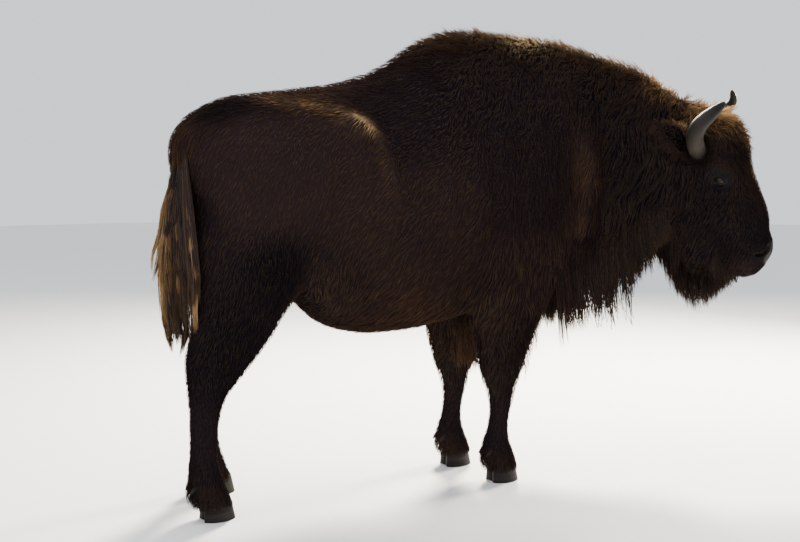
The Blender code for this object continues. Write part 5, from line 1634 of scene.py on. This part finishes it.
# rows of the lid's surface from under the rim outwards: share of the opening, distance from the eye's centre
# where it lies on a ball, or a depth out of the head where it leaves the ball
LID_ROWS = (
    (0.97, 0.0185), (0.99, 0.0216), (1.05, 0.0238), (1.16, 0.0250), (1.32, 0.0247),
    (1.46, 0.0240), (1.62, 0.0247), (1.85, 0.0246), (2.15, 0.0246), (2.5, 0.0250),
)
LID_TUCK = (0, 0, 0, 0, 0, 0.0006, 0.0009, 0.0012, 0.0060, 0.0130)
LID_PLANE = (0.0125, -0.30, 0.23)  # hide round the eye: height out of its centre, slope forwards, slope upwards


def eye_frame(side):
    """Centre of the eye in the frame, and its directions forwards along the lids, up and out of the head."""
    mirror = np.array([1, 1, side])
    return on_head(EYE_PLACE * mirror), EYE_ALONG @ HEAD_AXES, EYE_UP @ HEAD_AXES, side * HEAD_AXES[2]


def eyeball(side, rows=40, columns=56):
    """Ball with a clear front that bulges a little: radius times 1 plus a small bell round its axis."""
    centre, along, up, out = eye_frame(side)
    tilt = np.linspace(0.004, math.pi * 0.70, rows)[:, None]
    turn = round_angles(columns)[None]
    radius = EYE_RADIUS * (1 + 0.045 * np.exp(-((tilt / 0.62) ** 4)))
    places = radius[..., None] * (
        np.sin(tilt)[..., None] * around(turn, along, up)
        + (np.cos(tilt) + 0 * turn)[..., None] * out
    )
    wide = (np.sin(tilt) * np.cos(turn)) / 0.45, (np.sin(tilt) * np.sin(turn)) / 0.27
    return centre + places, np.hypot(*wide), np.sin(tilt) + 0 * turn


def lid_surface(side, columns=96):
    """Ring of leather round an almond opening: half ellipses above and below with pointed corners."""
    centre, along, up, out = eye_frame(side)
    turn = round_angles(columns)
    half, above, below = LID_OPENING
    height = np.where(np.sin(turn) > 0, above, below)
    u = half * np.sign(np.cos(turn)) * np.abs(np.cos(turn)) ** 0.92
    v = height * np.sign(np.sin(turn)) * np.abs(np.sin(turn)) ** 1.25
    rings = []
    for (share, ball), tuck in zip(LID_ROWS, LID_TUCK):
        grown = (share - 1) * 0.008
        du, dv = u * min(share, 1.0) + grown * np.cos(turn) * 1.5, v * min(share, 1.0) + grown * np.sin(turn) * 1.7
        w = np.sqrt(np.maximum(ball**2 - du**2 - dv**2, 0.006**2))
        flat = LID_PLANE[0] + LID_PLANE[1] * du + LID_PLANE[2] * dv
        w = w + (flat - w) * step_between(share, 1.10, 2.00) - tuck
        rings.append(centre + du[:, None] * along + dv[:, None] * up + w[:, None] * out)
    return np.stack(rings)


glass = Finish("eye_glass", Roughness=0.10, Specular_IOR_Level=0.22)
pupil, limbus = glass.attribute("pupil"), glass.attribute("limbus")
fibres = glass.noise(700.0, 3.0)
tone = glass.mix(fibres.between(0.3, 0.7), (0.012, 0.006, 0.0035, 1.0), (0.022, 0.011, 0.006, 1.0))
tone = glass.mix(pupil.between(0.85, 1.1), (0.0015, 0.0013, 0.0013, 1.0), tone)
tone = glass.mix(limbus.between(0.66, 0.74), tone, (0.004, 0.003, 0.003, 1.0))
tone = glass.mix(limbus.between(0.86, 0.95), tone, (0.020, 0.014, 0.012, 1.0))
glass.colour(tone)

lid_leather = Finish("lid_leather", Roughness=0.70, Specular_IOR_Level=0.06)
wrinkle = lid_leather.noise(260.0, 4.0, (1, 1, 2.2))
tone = lid_leather.mix(wrinkle.between(0.3, 0.75), (0.0080, 0.0068, 0.0068, 1.0), TONES["orbit"])
lid_leather.colour(lid_leather.mix(lid_leather.attribute("rim"), tone, (0.0030, 0.0027, 0.0028, 1.0)))
lid_leather.bump(wrinkle, 0.0012, 0.8)

for word, side in SIDES:
    rings, pupil_place, limbus_place = eyeball(side)
    points, faces = closed_rings(rings)
    made = new_object(f"glass_eye_{word}", points, outwards(points, faces), glass.material)
    add_attribute(made, "pupil", np.append(pupil_place.ravel(), [0.0, 9.0]))
    add_attribute(made, "limbus", np.append(limbus_place.ravel(), [0.0, 1.0]))
    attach(made, "root")
    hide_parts(f"eye_{word}")
    rings = lid_surface(side)
    thick = np.concatenate([rings, rings[::-1] - 0.0025 * eye_frame(side)[3]])
    count = len(thick)
    faces = as_triangles(grid_faces(count, rings.shape[1]))
    seam = as_triangles(grid_faces(2, rings.shape[1]))
    seam = np.where(seam < rings.shape[1], seam + (count - 1) * rings.shape[1], seam - rings.shape[1])
    points = thick.reshape(-1, 3)
    faces = np.concatenate([faces, seam])
    made = new_object(f"eyelids_{word}", points, outwards(points, faces), lid_leather.material)
    rim = np.clip((1.30 - np.array([share for share, _ in LID_ROWS])) / 0.25, 0, 1)
    add_attribute(made, "rim", np.repeat(np.concatenate([rim, rim[::-1]]), rings.shape[1]))
    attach(made, "root")


# ---------------------------------------------------------------- hooves
# Two claws to each foot, of dark horn with growth rings in the wall, split by a narrow cleft, and two small
# dewclaws behind the pastern. They stand on the floor and carry the model.

CLAW_LENGTH, CLAW_WIDTH, CLAW_SPLIT = 0.122, 0.048, 0.0035
CORONET_FRONT, CORONET_REAR = 0.074, 0.050
DEWCLAW_ROOT = 0.030  # how far forward of its solid a dewclaw is rooted in the leg


def claw_surface(foot, side, rows=26, columns=44):
    """Level outlines from the sole to the coronet: a bulging outer wall from heel to toe, and a straight
    inner one back. The toe draws back and the wall closes in with height, and the rows make rings."""
    rise = np.concatenate([[0.0, 0.012], np.linspace(0.05, 1.0, rows - 2)])[:, None]
    half_count = columns * 2 // 3
    t = np.concatenate([np.linspace(0, 1, half_count), np.linspace(1, 0, columns - half_count + 2)[1:-1]])[None]
    outer = (np.arange(columns) < half_count)[None]
    toe, heel = CLAW_LENGTH * (0.5 - 0.13 * rise), -CLAW_LENGTH * (0.5 - 0.03 * rise)
    edge = np.where(rise < 0.005, 0.965, 1.0)
    reach = CLAW_WIDTH * (1.0 - 0.10 * rise) * edge
    ringed = 1 + 0.012 * np.sin(rise * 2 * math.pi * 6.5 + 0.6 * t) * np.clip(rise * 4, 0, 1)
    bulge = np.maximum(np.sin(math.pi * (0.10 + 0.90 * t) ** 0.9), 0) ** 0.55
    x = (heel + (toe - heel) * t) * np.where(rise < 0.005, 0.985, 1.0)
    y = CLAW_SPLIT + np.where(outer, reach * bulge * ringed, 0.0)
    z = rise * (CORONET_REAR + (CORONET_FRONT - CORONET_REAR) * (x + CLAW_LENGTH / 2) / CLAW_LENGTH)
    return foot + np.stack([x, side * y, z], 2)


def dewclaw_surface(low, high, rows=14, columns=16):
    """Blunt cone from inside the leg to the rear end of its solid's box, bent a little down: the radius falls
    with the square root of the way left to the tip."""
    low, high = np.array(low), np.array(high)
    tip = np.array([low[0] + 0.016, (low[1] + high[1]) / 2, low[2] + 0.004])
    root = np.array([high[0] - 0.010 + DEWCLAW_ROOT, (low[1] + high[1]) / 2, high[2] - 0.010])
    share = eased(rows)
    middle = root + share[:, None] * (tip - root)
    middle[:, 2] += 0.006 * np.sin(np.pi * share)
    radius = 0.0088 * np.sqrt(np.maximum(1 - share**2.5, 0.0)) * (1 + 0.03 * np.sin(40 * share))
    angle = round_angles(columns)
    run = (tip - root) / np.linalg.norm(tip - root)
    across = np.array([0.0, 1.0, 0.0])
    return middle[:, None] + radius[:, None, None] * around(angle, across, np.cross(run, across))[None]


hoof_horn = Finish("hoof_horn", Roughness=0.65, Specular_IOR_Level=0.12)
rings_height = hoof_horn.noise(38.0, 3.0, (0.12, 0.12, 4.0))
chips = hoof_horn.noise(140.0, 4.0)
tone = hoof_horn.mix(rings_height.between(0.35, 0.7), (0.006, 0.0053, 0.0050, 1.0), (0.018, 0.0145, 0.012, 1.0))
tone = hoof_horn.mix(chips.between(0.55, 0.8) * 0.25, tone, (0.06, 0.05, 0.04, 1.0))
hoof_horn.colour(tone)
hoof_horn.bump(rings_height * 0.6 + chips * 0.4, 0.0012, 0.8)

for leg in ("foreleg_right", "foreleg_left", "hindleg_right", "hindleg_left"):
    low = [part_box(f"claw_{leg}_{word}") for word in ("right", "left")]
    foot = np.array([(low[0][0].x + low[0][1].x) / 2, (low[0][1].y + low[1][0].y) / 2, 0.0])
    for word, side in SIDES:
        points, faces = closed_rings(claw_surface(foot, side))
        made = new_object(f"hoof_{leg}_{word}", points, outwards(points, faces), hoof_horn.material)
        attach(made, "root")
        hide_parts(f"claw_{leg}_{word}")
        points, faces = closed_rings(dewclaw_surface(*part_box(f"dewclaw_{leg}_{word}")))
        made = new_object(f"spur_{leg}_{word}", points, outwards(points, faces), hoof_horn.material)
        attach(made, "root")
        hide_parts(f"dewclaw_{leg}_{word}")
